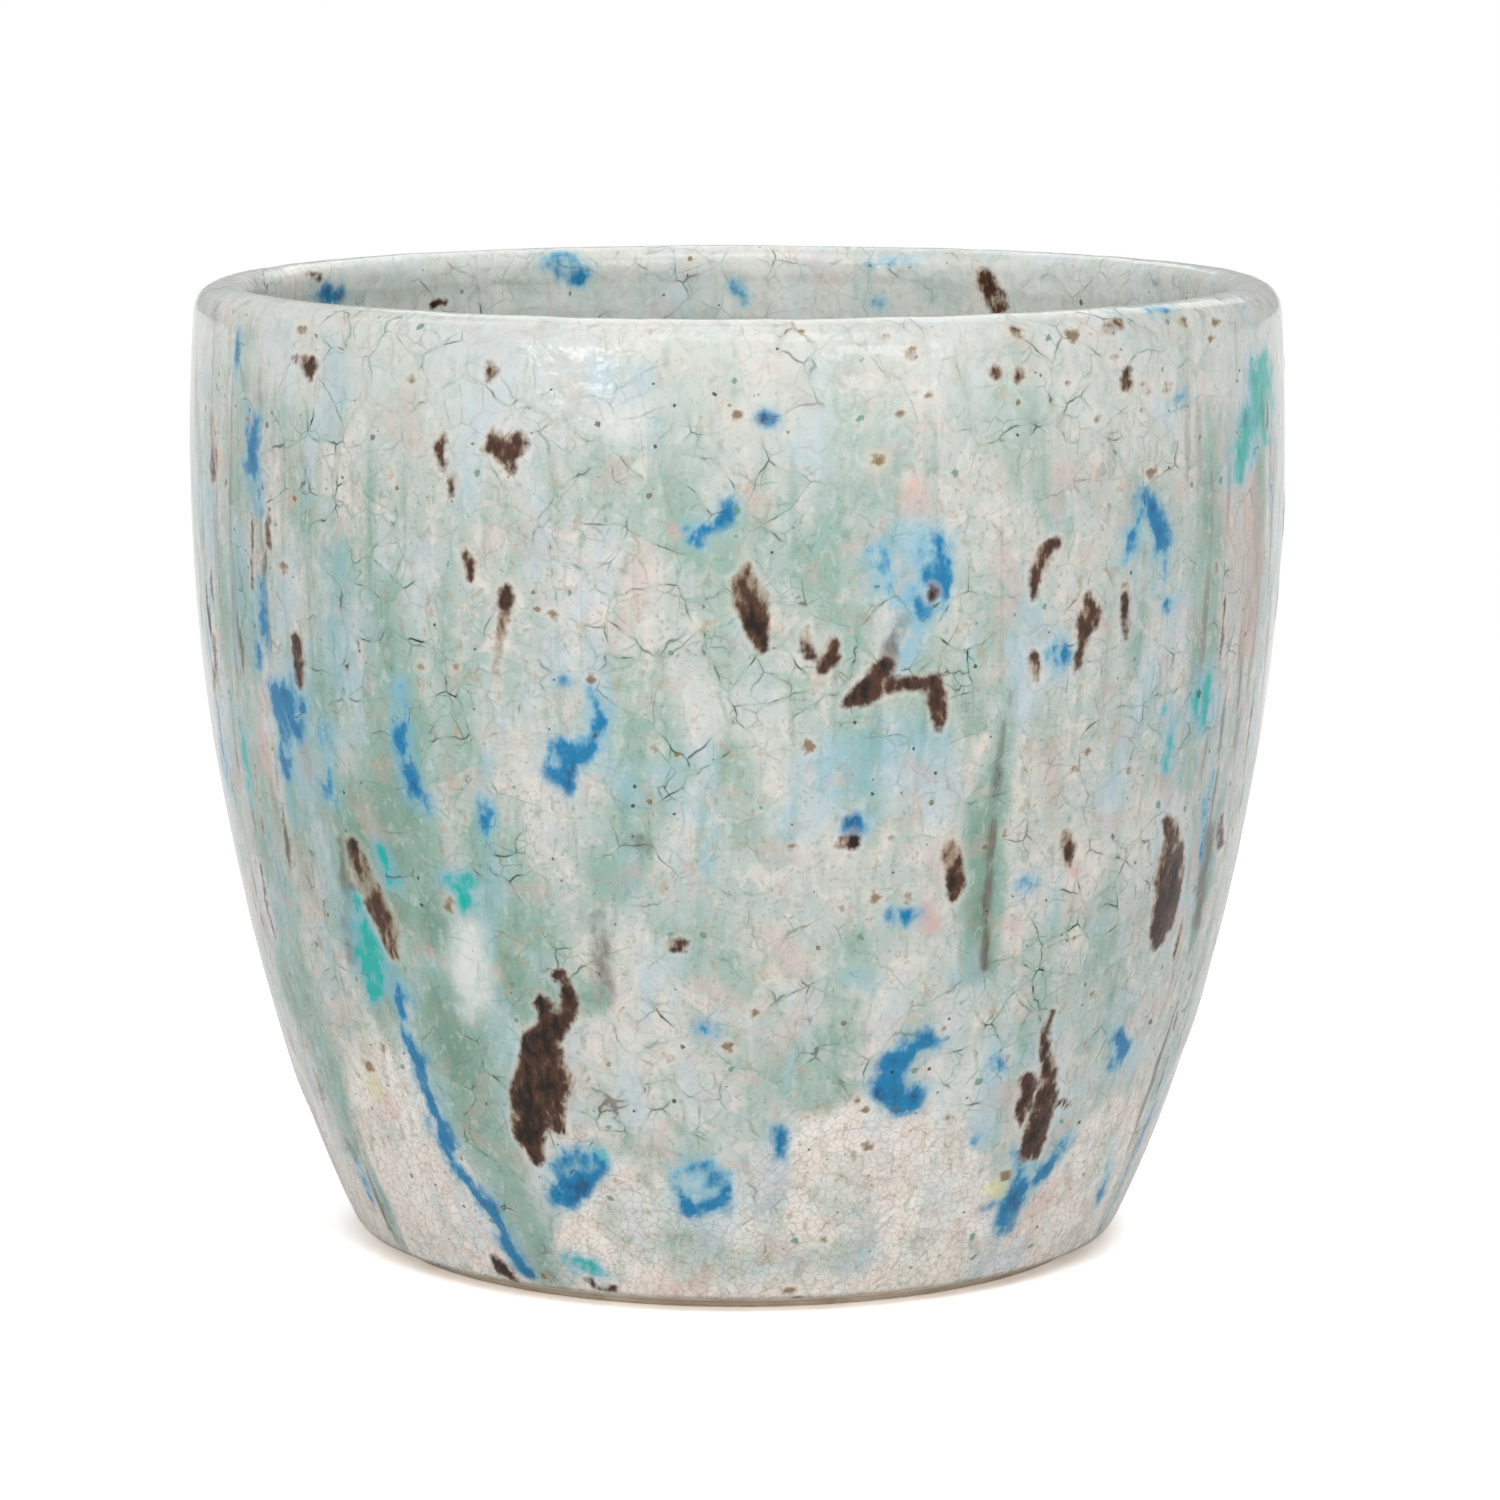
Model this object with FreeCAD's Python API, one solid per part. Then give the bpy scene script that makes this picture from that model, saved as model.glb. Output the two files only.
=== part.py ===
import FreeCAD, Part
import math
import os

# A thrown stoneware cachepot in its glazes, in millimetres. The foot rests on the plane z = 0,
# the pot turns about the Z axis and its best side faces -Y. The outline is a chain of tangent
# arcs, and it is that of the finished pot where the poured coat of glaze covers the clay.

# Finished outline
WIDEST_RADIUS = 95.0
HEIGHT = 167.5
WIDEST_HEIGHT = 138.0
UPPER_WALL_ARC_RADIUS = 362.0
WALL_JOIN_HEIGHT = 28.0
LOWER_WALL_ARC_RADIUS = 190.0
BASE_CORNER_RADIUS = 6.5
FLOOR_CORNER_RADIUS = 16.0

# Fired clay
CLAY_WALL_THICKNESS = 7.0
CLAY_FLOOR_THICKNESS = 6.5
FOOT_RING_WIDTH = 7.0
FOOT_RECESS_DEPTH = 2.5
FOOT_BEVEL = 0.6

# The rolled lip takes its two radii from the wall that it closes, and the rest is a narrow flat
LIP_OUTER_SHARE = 0.58
LIP_INNER_SHARE = 0.34

# Coats of glaze: thin dipped coats on the clay near the foot and inside, each with a level top,
# and a thick poured coat over the lip and walls that laps over both
POURED_COAT_THICKNESS = 1.2
DIPPED_COAT_THICKNESS = 0.5
GLAZE_LINE_HEIGHT = 2.0
POURED_EDGE_INSIDE = 84.0
POURED_COAT_LAP = 9.0

# Lower edge of the poured coat outside: the highest and lowest it lies, and its drips as
# (degrees round the pot from its front, share of the way up from the lowest to the highest)
POURED_EDGE_LOWEST = 3.0
POURED_EDGE_HIGHEST = 42.5
POURED_EDGE_SHARES = [
    (-65, 0.36), (-48, 0.98), (-40, 0.83), (-36, 0.42), (-28, 0.00), (-17, 0.46), (-4, 0.37),
    (7, 0.66), (20, 0.76), (30, 0.55), (40, 0.19), (49, 0.52), (67, 0.50), (85, 0.72),
    (100, 0.20), (117, 0.66), (135, 0.40), (152, 0.86), (170, 0.12), (188, 0.60), (205, 0.30),
    (222, 0.82), (240, 0.44), (256, 0.76), (271, 0.24), (284, 0.70),
]

# A long or sharply turning arc is drawn as equal shorter ones, which keeps its surface light
LONGEST_ARC = 27.0
SHARPEST_TURN = math.radians(46)

# The tool that trims the poured coat runs past the solid by this much, and stays this far
# from the axis, where there is no coat
OVERRUN = 10.0

# Places nearer than this are one place
SAME_PLACE = 1e-6

WALL_THICKNESS = CLAY_WALL_THICKNESS + 2 * POURED_COAT_THICKNESS
DIPPED_COAT_DEPTH = POURED_COAT_THICKNESS - DIPPED_COAT_THICKNESS
LIP_OUTER_RADIUS = LIP_OUTER_SHARE * WALL_THICKNESS
LIP_INNER_RADIUS = LIP_INNER_SHARE * WALL_THICKNESS
CLAY_FLOOR_HEIGHT = FOOT_RECESS_DEPTH + CLAY_FLOOR_THICKNESS
FLOOR_CORNER_HEIGHT = CLAY_FLOOR_HEIGHT + POURED_COAT_THICKNESS + FLOOR_CORNER_RADIUS
BASE_GLAZE_TOP = POURED_EDGE_HIGHEST + POURED_COAT_LAP
LINER_GLAZE_TOP = POURED_EDGE_INSIDE + POURED_COAT_LAP
DOWN = -math.pi / 2
UP = math.pi / 2


def along(start, distance, angle):
    """The point at a distance from start, in the section's plane, at an angle above level."""
    return (start[0] + distance * math.cos(angle), start[1] + distance * math.sin(angle))


# Centres of the arcs, and the angles above level at which each hands over to the next
UPPER_CENTRE = (WIDEST_RADIUS - UPPER_WALL_ARC_RADIUS, WIDEST_HEIGHT)
JOIN_ANGLE = math.asin((WALL_JOIN_HEIGHT - WIDEST_HEIGHT) / UPPER_WALL_ARC_RADIUS)
LOWER_CENTRE = along(UPPER_CENTRE, UPPER_WALL_ARC_RADIUS - LOWER_WALL_ARC_RADIUS, JOIN_ANGLE)

BASE_REACH = LOWER_WALL_ARC_RADIUS - BASE_CORNER_RADIUS
BASE_ANGLE = math.asin((BASE_CORNER_RADIUS - LOWER_CENTRE[1]) / BASE_REACH)
BASE_CENTRE = along(LOWER_CENTRE, BASE_REACH, BASE_ANGLE)

LIP_OUTER_REACH = UPPER_WALL_ARC_RADIUS - LIP_OUTER_RADIUS
LIP_OUTER_ANGLE = math.asin((HEIGHT - LIP_OUTER_RADIUS - WIDEST_HEIGHT) / LIP_OUTER_REACH)
LIP_OUTER_CENTRE = along(UPPER_CENTRE, LIP_OUTER_REACH, LIP_OUTER_ANGLE)

LIP_INNER_REACH = UPPER_WALL_ARC_RADIUS - WALL_THICKNESS + LIP_INNER_RADIUS
LIP_INNER_ANGLE = math.asin((HEIGHT - LIP_INNER_RADIUS - WIDEST_HEIGHT) / LIP_INNER_REACH)
LIP_INNER_CENTRE = along(UPPER_CENTRE, LIP_INNER_REACH, LIP_INNER_ANGLE)

FLOOR_REACH = LOWER_WALL_ARC_RADIUS - WALL_THICKNESS - FLOOR_CORNER_RADIUS
FLOOR_ANGLE = math.asin((FLOOR_CORNER_HEIGHT - LOWER_CENTRE[1]) / FLOOR_REACH)
FLOOR_CENTRE = along(LOWER_CENTRE, FLOOR_REACH, FLOOR_ANGLE)


def outside_arcs(depth):
    """The outside, foot to crown, at a depth under the finished outline: centre, radius, angles."""
    return [
        (BASE_CENTRE, BASE_CORNER_RADIUS - depth, DOWN, BASE_ANGLE),
        (LOWER_CENTRE, LOWER_WALL_ARC_RADIUS - depth, BASE_ANGLE, JOIN_ANGLE),
        (UPPER_CENTRE, UPPER_WALL_ARC_RADIUS - depth, JOIN_ANGLE, LIP_OUTER_ANGLE),
        (LIP_OUTER_CENTRE, LIP_OUTER_RADIUS - depth, LIP_OUTER_ANGLE, UP),
    ]


def inside_arcs(depth):
    """The inside, crown to floor, at a depth under the finished outline."""
    inset = WALL_THICKNESS - depth
    return [
        (LIP_INNER_CENTRE, LIP_INNER_RADIUS - depth, UP, math.pi + LIP_INNER_ANGLE),
        (UPPER_CENTRE, UPPER_WALL_ARC_RADIUS - inset, LIP_INNER_ANGLE, JOIN_ANGLE),
        (LOWER_CENTRE, LOWER_WALL_ARC_RADIUS - inset, JOIN_ANGLE, FLOOR_ANGLE),
        (FLOOR_CENTRE, FLOOR_CORNER_RADIUS + depth, FLOOR_ANGLE, DOWN),
    ]


def between(arcs, low, high):
    """The stretch of a chain of arcs between two levels, in the same order."""
    kept = []
    for centre, radius, *angles in arcs:
        for side, angle in enumerate(angles):
            level = along(centre, radius, angle)[1]
            if not low <= level <= high:
                rise = (max(low, min(high, level)) - centre[1]) / radius
                angles[side] = math.asin(max(-1, min(1, rise)))
        if angles[0] != angles[1]:
            kept.append((centre, radius, *angles))
    return kept


def backwards(arcs):
    """The same chain of arcs, walked from its end to its start."""
    return [(centre, radius, end, start) for centre, radius, start, end in reversed(arcs)]


def arc_edges(arcs):
    """Edges along a chain of arcs, with the long and the sharply turning ones divided."""
    edges = []
    for centre, radius, start, end in arcs:
        turn = end - start
        pieces = max(abs(turn) * radius / LONGEST_ARC, abs(turn) / SHARPEST_TURN)
        pieces = math.ceil(pieces)
        for piece in range(pieces):
            stops = [start + turn * (piece + part) / pieces for part in (0, 1 / 2, 1)]
            points = [section_point(along(centre, radius, stop)) for stop in stops]
            edges.append(Part.Arc(*points).toShape())
    return edges


def section_point(place):
    """A place of the section, given as radius and height, in space."""
    return FreeCAD.Vector(place[0], 0, place[1])


def chain_ends(chain):
    """Where a chain of arcs starts and ends. A single place is both."""
    if isinstance(chain, tuple):
        return chain, chain
    first_centre, first_radius, start, _ = chain[0]
    last_centre, last_radius, _, end = chain[-1]
    return along(first_centre, first_radius, start), along(last_centre, last_radius, end)


def turned(outline):
    """The solid of revolution of a closed outline: chains of arcs and places, joined in order."""
    edges = []
    ends = [chain_ends(chain) for chain in outline]
    for chain, (_, leaving), (arriving, _) in zip(outline, ends, ends[1:] + ends[:1]):
        if isinstance(chain, list):
            edges += arc_edges(chain)
        if math.dist(leaving, arriving) > SAME_PLACE:
            edges.append(Part.makeLine(section_point(leaving), section_point(arriving)))
    face = Part.Face(Part.Wire(edges))
    return face.revolve(FreeCAD.Vector(0, 0, 0), FreeCAD.Vector(0, 0, 1), 360)


def foot_places():
    """The bare foot: a flat recess, and the bevelled ring that carries the pot."""
    outer = BASE_CENTRE[0]
    inner = outer - FOOT_RING_WIDTH
    return [
        (0, FOOT_RECESS_DEPTH),
        (inner, FOOT_RECESS_DEPTH),
        (inner, FOOT_BEVEL),
        (inner + FOOT_BEVEL, 0),
        (outer - FOOT_BEVEL, 0),
        (outer, FOOT_BEVEL),
    ]


def make_clay_body():
    """The thrown shell: foot ring, swelling wall, rolled lip and floor."""
    outside = outside_arcs(POURED_COAT_THICKNESS)
    inside = inside_arcs(POURED_COAT_THICKNESS)
    return turned(foot_places() + [outside, inside, (0, CLAY_FLOOR_HEIGHT)])


def make_base_glaze():
    """The thin coat outside, from the wiped foot to its level top under the poured coat."""
    over = between(outside_arcs(DIPPED_COAT_DEPTH), GLAZE_LINE_HEIGHT, BASE_GLAZE_TOP)
    under = between(outside_arcs(POURED_COAT_THICKNESS), GLAZE_LINE_HEIGHT, BASE_GLAZE_TOP)
    return turned([over, backwards(under)])


def make_liner_glaze():
    """The thin coat inside, from its level top under the poured coat down and over the floor."""
    over = between(inside_arcs(DIPPED_COAT_DEPTH), 0, LINER_GLAZE_TOP)
    under = between(inside_arcs(POURED_COAT_THICKNESS), 0, LINER_GLAZE_TOP)
    floor = CLAY_FLOOR_HEIGHT
    return turned([over, (0, floor + DIPPED_COAT_THICKNESS), (0, floor), backwards(under)])


def edge_curve(radius, stations):
    """A closed smooth curve at a radius from the axis, through (turn in radians, height)."""
    points = [
        FreeCAD.Vector(radius * math.sin(turn), -radius * math.cos(turn), height)
        for turn, height in stations
    ]
    turns = [turn for turn, _ in stations]
    turns.append(turns[0] + 2 * math.pi)
    curve = Part.BSplineCurve()
    curve.interpolate(Points=points, Parameters=turns, PeriodicFlag=True)
    return curve.toShape()


def space_above(stations):
    """Everything above a wavy edge, from near the axis to beyond the pot."""
    near = edge_curve(OVERRUN, stations)
    far = edge_curve(WIDEST_RADIUS + OVERRUN, stations)
    return Part.makeRuledSurface(near, far).extrude(FreeCAD.Vector(0, 0, HEIGHT + OVERRUN))


def outside_edge():
    """The drips at the lower edge of the poured coat outside."""
    band = POURED_EDGE_HIGHEST - POURED_EDGE_LOWEST
    return [
        (math.radians(degrees), POURED_EDGE_LOWEST + share * band)
        for degrees, share in POURED_EDGE_SHARES
    ]


def make_run_glaze():
    """The thick coat: down the outside in drips, over the lip and into the pot, on both others."""
    coat = turned([
        between(outside_arcs(0), GLAZE_LINE_HEIGHT, HEIGHT),
        between(inside_arcs(0), POURED_EDGE_INSIDE, HEIGHT),
        backwards(between(inside_arcs(DIPPED_COAT_DEPTH), POURED_EDGE_INSIDE, LINER_GLAZE_TOP)),
        backwards(between(inside_arcs(POURED_COAT_THICKNESS), LINER_GLAZE_TOP, HEIGHT)),
        backwards(between(outside_arcs(POURED_COAT_THICKNESS), BASE_GLAZE_TOP, HEIGHT)),
        backwards(between(outside_arcs(DIPPED_COAT_DEPTH), GLAZE_LINE_HEIGHT, BASE_GLAZE_TOP)),
    ])
    return coat.common(space_above(outside_edge()))


def write_node(name, shape):
    shape.exportStep("parts/" + name + ".step")
    print(name, len(shape.Solids), "solid(s)", round(shape.Volume), "mm3", "valid", shape.isValid())


os.makedirs("parts", exist_ok=True)
write_node("clay_body", make_clay_body())
write_node("base_glaze", make_base_glaze())
write_node("liner_glaze", make_liner_glaze())
write_node("run_glaze", make_run_glaze())
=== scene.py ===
import math
import random
from collections import namedtuple

import bpy
import numpy as np
from mathutils import Matrix, Vector, noise


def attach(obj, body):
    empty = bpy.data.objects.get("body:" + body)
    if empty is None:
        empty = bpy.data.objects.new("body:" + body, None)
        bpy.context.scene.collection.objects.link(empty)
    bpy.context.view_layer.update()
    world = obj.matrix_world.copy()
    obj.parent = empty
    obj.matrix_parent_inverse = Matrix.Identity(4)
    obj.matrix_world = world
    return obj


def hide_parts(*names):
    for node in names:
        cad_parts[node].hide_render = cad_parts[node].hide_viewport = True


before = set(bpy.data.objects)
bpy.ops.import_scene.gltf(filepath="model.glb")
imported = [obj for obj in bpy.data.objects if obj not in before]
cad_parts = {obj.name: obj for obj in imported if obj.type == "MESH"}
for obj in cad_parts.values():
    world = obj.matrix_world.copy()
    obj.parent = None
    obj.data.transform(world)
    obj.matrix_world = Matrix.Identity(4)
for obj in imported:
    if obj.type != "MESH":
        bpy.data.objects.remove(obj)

# A thrown cachepot in its glazes. Sizes are in millimetres, turned into metres where a mesh or
# a node is made. The pot turns about Z, its photographed side faces -Y, and turns round it are
# counted from there, towards +X.
METRE = 1000.0
SEED = 7

# A place of a splash's chain on the pot: its turn, how far along the outline it lies, the splash's
# radius there, and how much narrower than level it was seen
Spot = namedtuple("Spot", "turn walk radius narrowing")

# Outline of the finished pot, the same tangent arcs as the solids
WIDEST_RADIUS = 95.0
HEIGHT = 167.5
WIDEST_HEIGHT = 138.0
UPPER_WALL_ARC_RADIUS = 362.0
WALL_JOIN_HEIGHT = 28.0
LOWER_WALL_ARC_RADIUS = 190.0
BASE_CORNER_RADIUS = 6.5
FLOOR_CORNER_RADIUS = 16.0
WALL_THICKNESS = 9.4
LIP_OUTER_RADIUS = 0.58 * WALL_THICKNESS
LIP_INNER_RADIUS = 0.34 * WALL_THICKNESS
FLOOR_HEIGHT = 10.2

# Coats of glaze: how deep under the outline each lies, and where it ends
DIPPED_DEPTH = 0.72
CLAY_DEPTH = 1.18
GLAZE_LINE_HEIGHT = 2.1
BASE_GLAZE_TOP = 51.0
POURED_EDGE_INSIDE = 84.0
LINER_GLAZE_TOP = 92.0

# Drips at the lower edge of the poured coat, as in the solids: degrees round the pot, and the
# share of the way up from the lowest to the highest
POURED_EDGE_LOWEST = 3.0
POURED_EDGE_HIGHEST = 42.5
POURED_EDGE_SHARES = [
    (-65, 0.36), (-48, 0.98), (-40, 0.83), (-36, 0.42), (-28, 0.00), (-17, 0.46), (-4, 0.37),
    (7, 0.66), (20, 0.76), (30, 0.55), (40, 0.19), (49, 0.52), (67, 0.50), (85, 0.72),
    (100, 0.20), (117, 0.66), (135, 0.40), (152, 0.86), (170, 0.12), (188, 0.60), (205, 0.30),
    (222, 0.82), (240, 0.44), (256, 0.76), (271, 0.24), (284, 0.70),
]

# The camera of the photograph: where it stood, its tilt and roll in degrees, and its lens
CAMERA_PLACE = (2.3, -989.7, 236.4)
CAMERA_PITCH = 8.73
CAMERA_ROLL = 0.165
PHOTO_SIZE = 1500
FOCAL_PIXELS = 5720.0
SENSOR_WIDTH = 36.0

# Splashes seen in the photograph. Each is a chain of (pixel x, pixel y, radius in pixels), with
# a tone at its start and its end: brown runs from ochre (0) to black (1), the others from a
# pale trace (0) to the full colour (1).
BROWN = {
    "big drop": (0.1, 0.35, [(748, 567, 5), (746, 585, 14), (752, 603, 19), (766, 618, 6)]),
    "big drop low": (0.9, 1.1, [(753, 612, 13), (758, 628, 12), (760, 642, 8), (763, 651, 4)]),
    "two lobes": (0.5, 0.6, [(484, 451, 3), (495, 441, 10), (503, 455, 8), (518, 443, 9)]),
    "two lobes drip": (0.7, 0.8, [(506, 459, 8), (513, 470, 3)]),
    "fan": (0.75, 0.75, [(297, 359, 4), (304, 362, 8), (311, 360, 4)]),
    "fan stem": (0.8, 1.0, [(304, 365, 7), (306, 379, 3)]),
    "high left dot": (0.5, 0.8, [(487, 361, 3), (488, 370, 6), (488, 379, 3)]),
    "torn streak": (0.5, 0.6, [(445, 432, 2), (437, 450, 6), (441, 467, 3)]),
    "torn streak end": (0.4, 0.6, [(452, 474, 2), (451, 494, 3)]),
    "small lean": (0.5, 0.7, [(464, 552, 3), (467, 566, 5), (470, 580, 3)]),
    "tadpole": (0.85, 0.15, [(507, 587, 5), (507, 600, 7), (504, 618, 5), (500, 642, 3),
        (495, 668, 4), (496, 682, 2), (498, 702, 1.5)]),
    "faint twin left": (0.75, 1.0, [(804, 630, 3), (806, 645, 4), (813, 657, 5)]),
    "faint twin right": (0.45, 0.75, [(831, 640, 5), (831, 655, 8), (823, 671, 5)]),
    "forked left": (0.8, 1.0, [(886, 664, 8), (870, 688, 12), (855, 700, 8), (846, 706, 4)]),
    "forked bar": (0.9, 0.8, [(872, 690, 8), (905, 684, 7), (932, 682, 8)]),
    "forked drip": (0.8, 0.95, [(935, 684, 9), (937, 700, 10), (940, 716, 8), (938, 729, 4)]),
    "dot by the fork": (0.9, 0.9, [(931, 592, 4), (931, 598, 4)]),
    "comma": (0.5, 0.9, [(1059, 543, 4), (1047, 551, 8), (1040, 568, 7), (1037, 586, 6),
        (1034, 597, 3)]),
    "drop with a tail": (0.6, 0.85, [(1090, 597, 5), (1090, 613, 11), (1087, 627, 8),
        (1082, 647, 4), (1077, 671, 2)]),
    "oval under the comma": (0.6, 0.7, [(1035, 658, 5), (1037, 668, 6), (1037, 682, 3)]),
    "black streak": (1.0, 1.0, [(1125, 584, 2), (1126, 600, 5), (1128, 620, 4), (1128, 637, 2)]),
    "ochre and black": (0.3, 1.0, [(953, 845, 5), (954, 860, 9), (956, 877, 10), (957, 890, 8),
        (954, 900, 4)]),
    "under the blue dot": (0.8, 0.9, [(841, 843, 5), (852, 843, 7)]),
    "oval on pink": (0.55, 0.65, [(1068, 837, 6), (1070, 850, 8), (1068, 863, 5)]),
    "tall right": (0.5, 0.95, [(1171, 819, 6), (1174, 848, 12), (1170, 880, 15), (1168, 905, 14),
        (1162, 930, 11), (1157, 946, 6)]),
    "edge right": (0.9, 1.0, [(1223, 818, 3), (1223, 846, 4)]),
    "tall left": (0.6, 0.45, [(351, 842, 5), (356, 858, 8), (365, 880, 11), (377, 908, 13),
        (387, 932, 11), (392, 955, 6)]),
    "low knot right": (0.95, 0.95, [(556, 979, 6), (563, 977, 6)]),
    "low neck": (0.9, 0.85, [(566, 985, 6), (568, 1000, 9), (566, 1014, 9), (556, 1030, 8)]),
    "low knot left": (0.9, 0.9, [(543, 1005, 8), (545, 1007, 8)]),
    "low body": (0.85, 0.8, [(549, 1024, 10), (541, 1046, 19), (541, 1078, 27), (533, 1105, 22),
        (528, 1135, 15), (535, 1163, 6)]),
    "low body core": (0.95, 0.9, [(549, 1058, 8), (566, 1076, 8)]),
    "low body toe": (0.75, 0.8, [(550, 1098, 12), (557, 1124, 10), (566, 1134, 4)]),
    "twin left lobe": (0.7, 0.8, [(1029, 1080, 7), (1026, 1102, 8), (1022, 1119, 4)]),
    "twin right lobe": (0.7, 0.85, [(1051, 1058, 5), (1050, 1078, 10), (1047, 1104, 13),
        (1037, 1130, 14), (1033, 1153, 10)]),
    "twin stem": (0.8, 0.8, [(1053, 1014, 2), (1045, 1034, 4), (1047, 1055, 5)]),
    "twin spur": (0.7, 0.7, [(1057, 1104, 5), (1070, 1104, 3)]),
    "foot drop": (1.0, 0.9, [(495, 1261, 5), (501, 1271, 8), (511, 1283, 5)]),
    "foot crumb": (0.8, 0.8, [(604, 1292, 4), (613, 1291, 6)]),
    "foot crumb left": (0.8, 0.8, [(587, 1283, 2), (591, 1290, 3)]),
    "small middle": (0.7, 0.8, [(671, 945, 6), (681, 947, 7)]),
    "spiky left": (0.8, 1.0, [(296, 636, 5), (298, 656, 6), (301, 686, 3)]),
    "left edge": (0.4, 0.5, [(210, 412, 2), (212, 445, 4), (211, 481, 3)]),
    "left edge low": (0.8, 0.8, [(212, 632, 2), (213, 690, 2)]),
    "lip cluster low": (0.6, 0.9, [(1019, 372, 5), (1020, 376, 5)]),
    "lip cluster high": (0.6, 0.8, [(1018, 328, 6), (1021, 331, 4)]),
    "lip cluster left": (0.3, 0.4, [(994, 371, 5), (998, 375, 4)]),
    "lip pair": (0.2, 0.3, [(1112, 327, 8), (1122, 320, 6)]),
    "lip slant": (0.4, 0.7, [(1128, 387, 5), (1131, 372, 4)]),
    "lip slant end": (0.6, 0.6, [(1143, 386, 3), (1149, 392, 2)]),
}
BLUE = {
    "high dot": (1.1, 1.1, [(767, 418, 5), (770, 420, 5)]),
    "bird body": (1.0, 1.0, [(688, 533, 8), (697, 541, 5)]),
    "bird wing": (0.9, 0.9, [(695, 531, 7), (712, 524, 4), (727, 514, 6), (732, 505, 3)]),
    "lilac left": (0.3, 0.35, [(884, 556, 12), (882, 585, 12), (890, 606, 8)]),
    "lilac right": (0.45, 0.5, [(936, 545, 10), (938, 568, 14), (930, 600, 18)]),
    "arch": (0.95, 0.45, [(1144, 497, 5), (1153, 507, 8), (1162, 528, 8), (1165, 560, 4),
        (1162, 592, 3)]),
    "arch inner": (0.35, 0.2, [(1146, 503, 4), (1134, 530, 4), (1128, 560, 3)]),
    "by the comma": (0.75, 0.6, [(1056, 652, 6), (1067, 661, 7)]),
    "right dot": (0.7, 0.7, [(1169, 604, 4), (1171, 606, 4)]),
    "left streak": (0.85, 0.75, [(255, 417, 2), (253, 440, 5), (251, 465, 7), (254, 488, 5),
        (258, 510, 3)]),
    "left streak low": (0.7, 0.75, [(261, 582, 3), (259, 622, 5), (258, 662, 3)]),
    "left triangle": (0.75, 0.6, [(276, 688, 8), (286, 706, 15), (289, 730, 13), (287, 755, 7),
        (286, 778, 3)]),
    "left triangle top": (0.6, 0.8, [(298, 682, 7), (300, 705, 7)]),
    "faint left": (0.55, 0.45, [(322, 722, 4), (326, 770, 5), (331, 804, 4)]),
    "main streak": (0.35, 1.0, [(395, 675, 3), (399, 717, 4), (402, 742, 6), (409, 770, 7),
        (416, 797, 5)]),
    "main streak end": (1.0, 1.0, [(424, 803, 5), (427, 809, 5)]),
    "hooked arm": (0.35, 0.6, [(590, 690, 4), (598, 716, 6), (596, 732, 9), (582, 745, 13)]),
    "hooked body": (0.75, 0.85, [(580, 748, 13), (565, 757, 19), (558, 774, 13), (568, 786, 6)]),
    "hooked line": (0.9, 0.8, [(566, 682, 2), (590, 684, 2)]),
    "small left": (0.6, 0.55, [(487, 800, 4), (489, 817, 8), (484, 833, 5)]),
    "left edge": (0.7, 0.5, [(219, 742, 2), (223, 768, 4), (226, 793, 3)]),
    "over the brown": (0.95, 0.8, [(850, 827, 6), (858, 827, 8), (862, 819, 4)]),
    "near the pink": (0.9, 0.75, [(895, 915, 6), (905, 918, 8), (913, 914, 5)]),
    "faint right pair": (0.6, 0.5, [(1025, 886, 5), (1034, 883, 5)]),
    "low middle dot": (0.75, 0.6, [(706, 1029, 6), (711, 1037, 6)]),
    "great drop": (0.9, 1.0, [(941, 1041, 5), (928, 1041, 9), (910, 1050, 12), (893, 1066, 14),
        (889, 1085, 15), (898, 1103, 14), (913, 1106, 9)]),
    "great drop hook": (0.95, 0.9, [(913, 1106, 8), (919, 1090, 6)]),
    "round drop": (0.15, 0.2, [(688, 1178, 16), (716, 1178, 18), (706, 1190, 26)]),
    "round drop rim": (0.9, 0.95, [(680, 1196, 9), (696, 1210, 12), (717, 1206, 11),
        (727, 1188, 8)]),
    "under the body": (0.3, 0.35, [(557, 1170, 16), (585, 1164, 17)]),
    "under the body deep": (0.95, 0.95, [(592, 1174, 8), (577, 1184, 13), (562, 1198, 13)]),
    "short drop": (1.0, 0.9, [(780, 1132, 5), (781, 1143, 7), (782, 1152, 4)]),
    "low right head": (0.5, 0.7, [(1022, 1150, 5), (1029, 1172, 11), (1022, 1188, 11)]),
    "low right foot": (1.0, 1.0, [(1018, 1192, 11), (1011, 1206, 11), (1007, 1222, 7),
        (1006, 1234, 4)]),
    "low right toe": (0.9, 0.7, [(1008, 1205, 5), (990, 1208, 3)]),
    "low right arm": (0.8, 0.5, [(1020, 1193, 9), (1043, 1176, 8), (1061, 1159, 6),
        (1071, 1137, 4)]),
    "right diamond": (0.8, 0.8, [(1120, 1039, 5), (1123, 1052, 9), (1118, 1065, 5)]),
    "right dot low": (0.7, 0.7, [(998, 1063, 6), (998, 1071, 6)]),
    "crumb": (0.7, 0.7, [(973, 1138, 3), (973, 1141, 3)]),
    "run line": (0.55, 0.85, [(398, 978, 4), (404, 1037, 6), (414, 1062, 7), (423, 1085, 7),
        (433, 1115, 8), (443, 1143, 8), (453, 1168, 8), (470, 1188, 8), (488, 1210, 8),
        (500, 1230, 8), (509, 1250, 8), (524, 1274, 7)]),
    "lip right": (0.6, 0.5, [(1152, 306, 4), (1166, 304, 4)]),
    "under lip right": (0.7, 0.6, [(1182, 393, 3), (1182, 399, 3)]),
}
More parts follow.
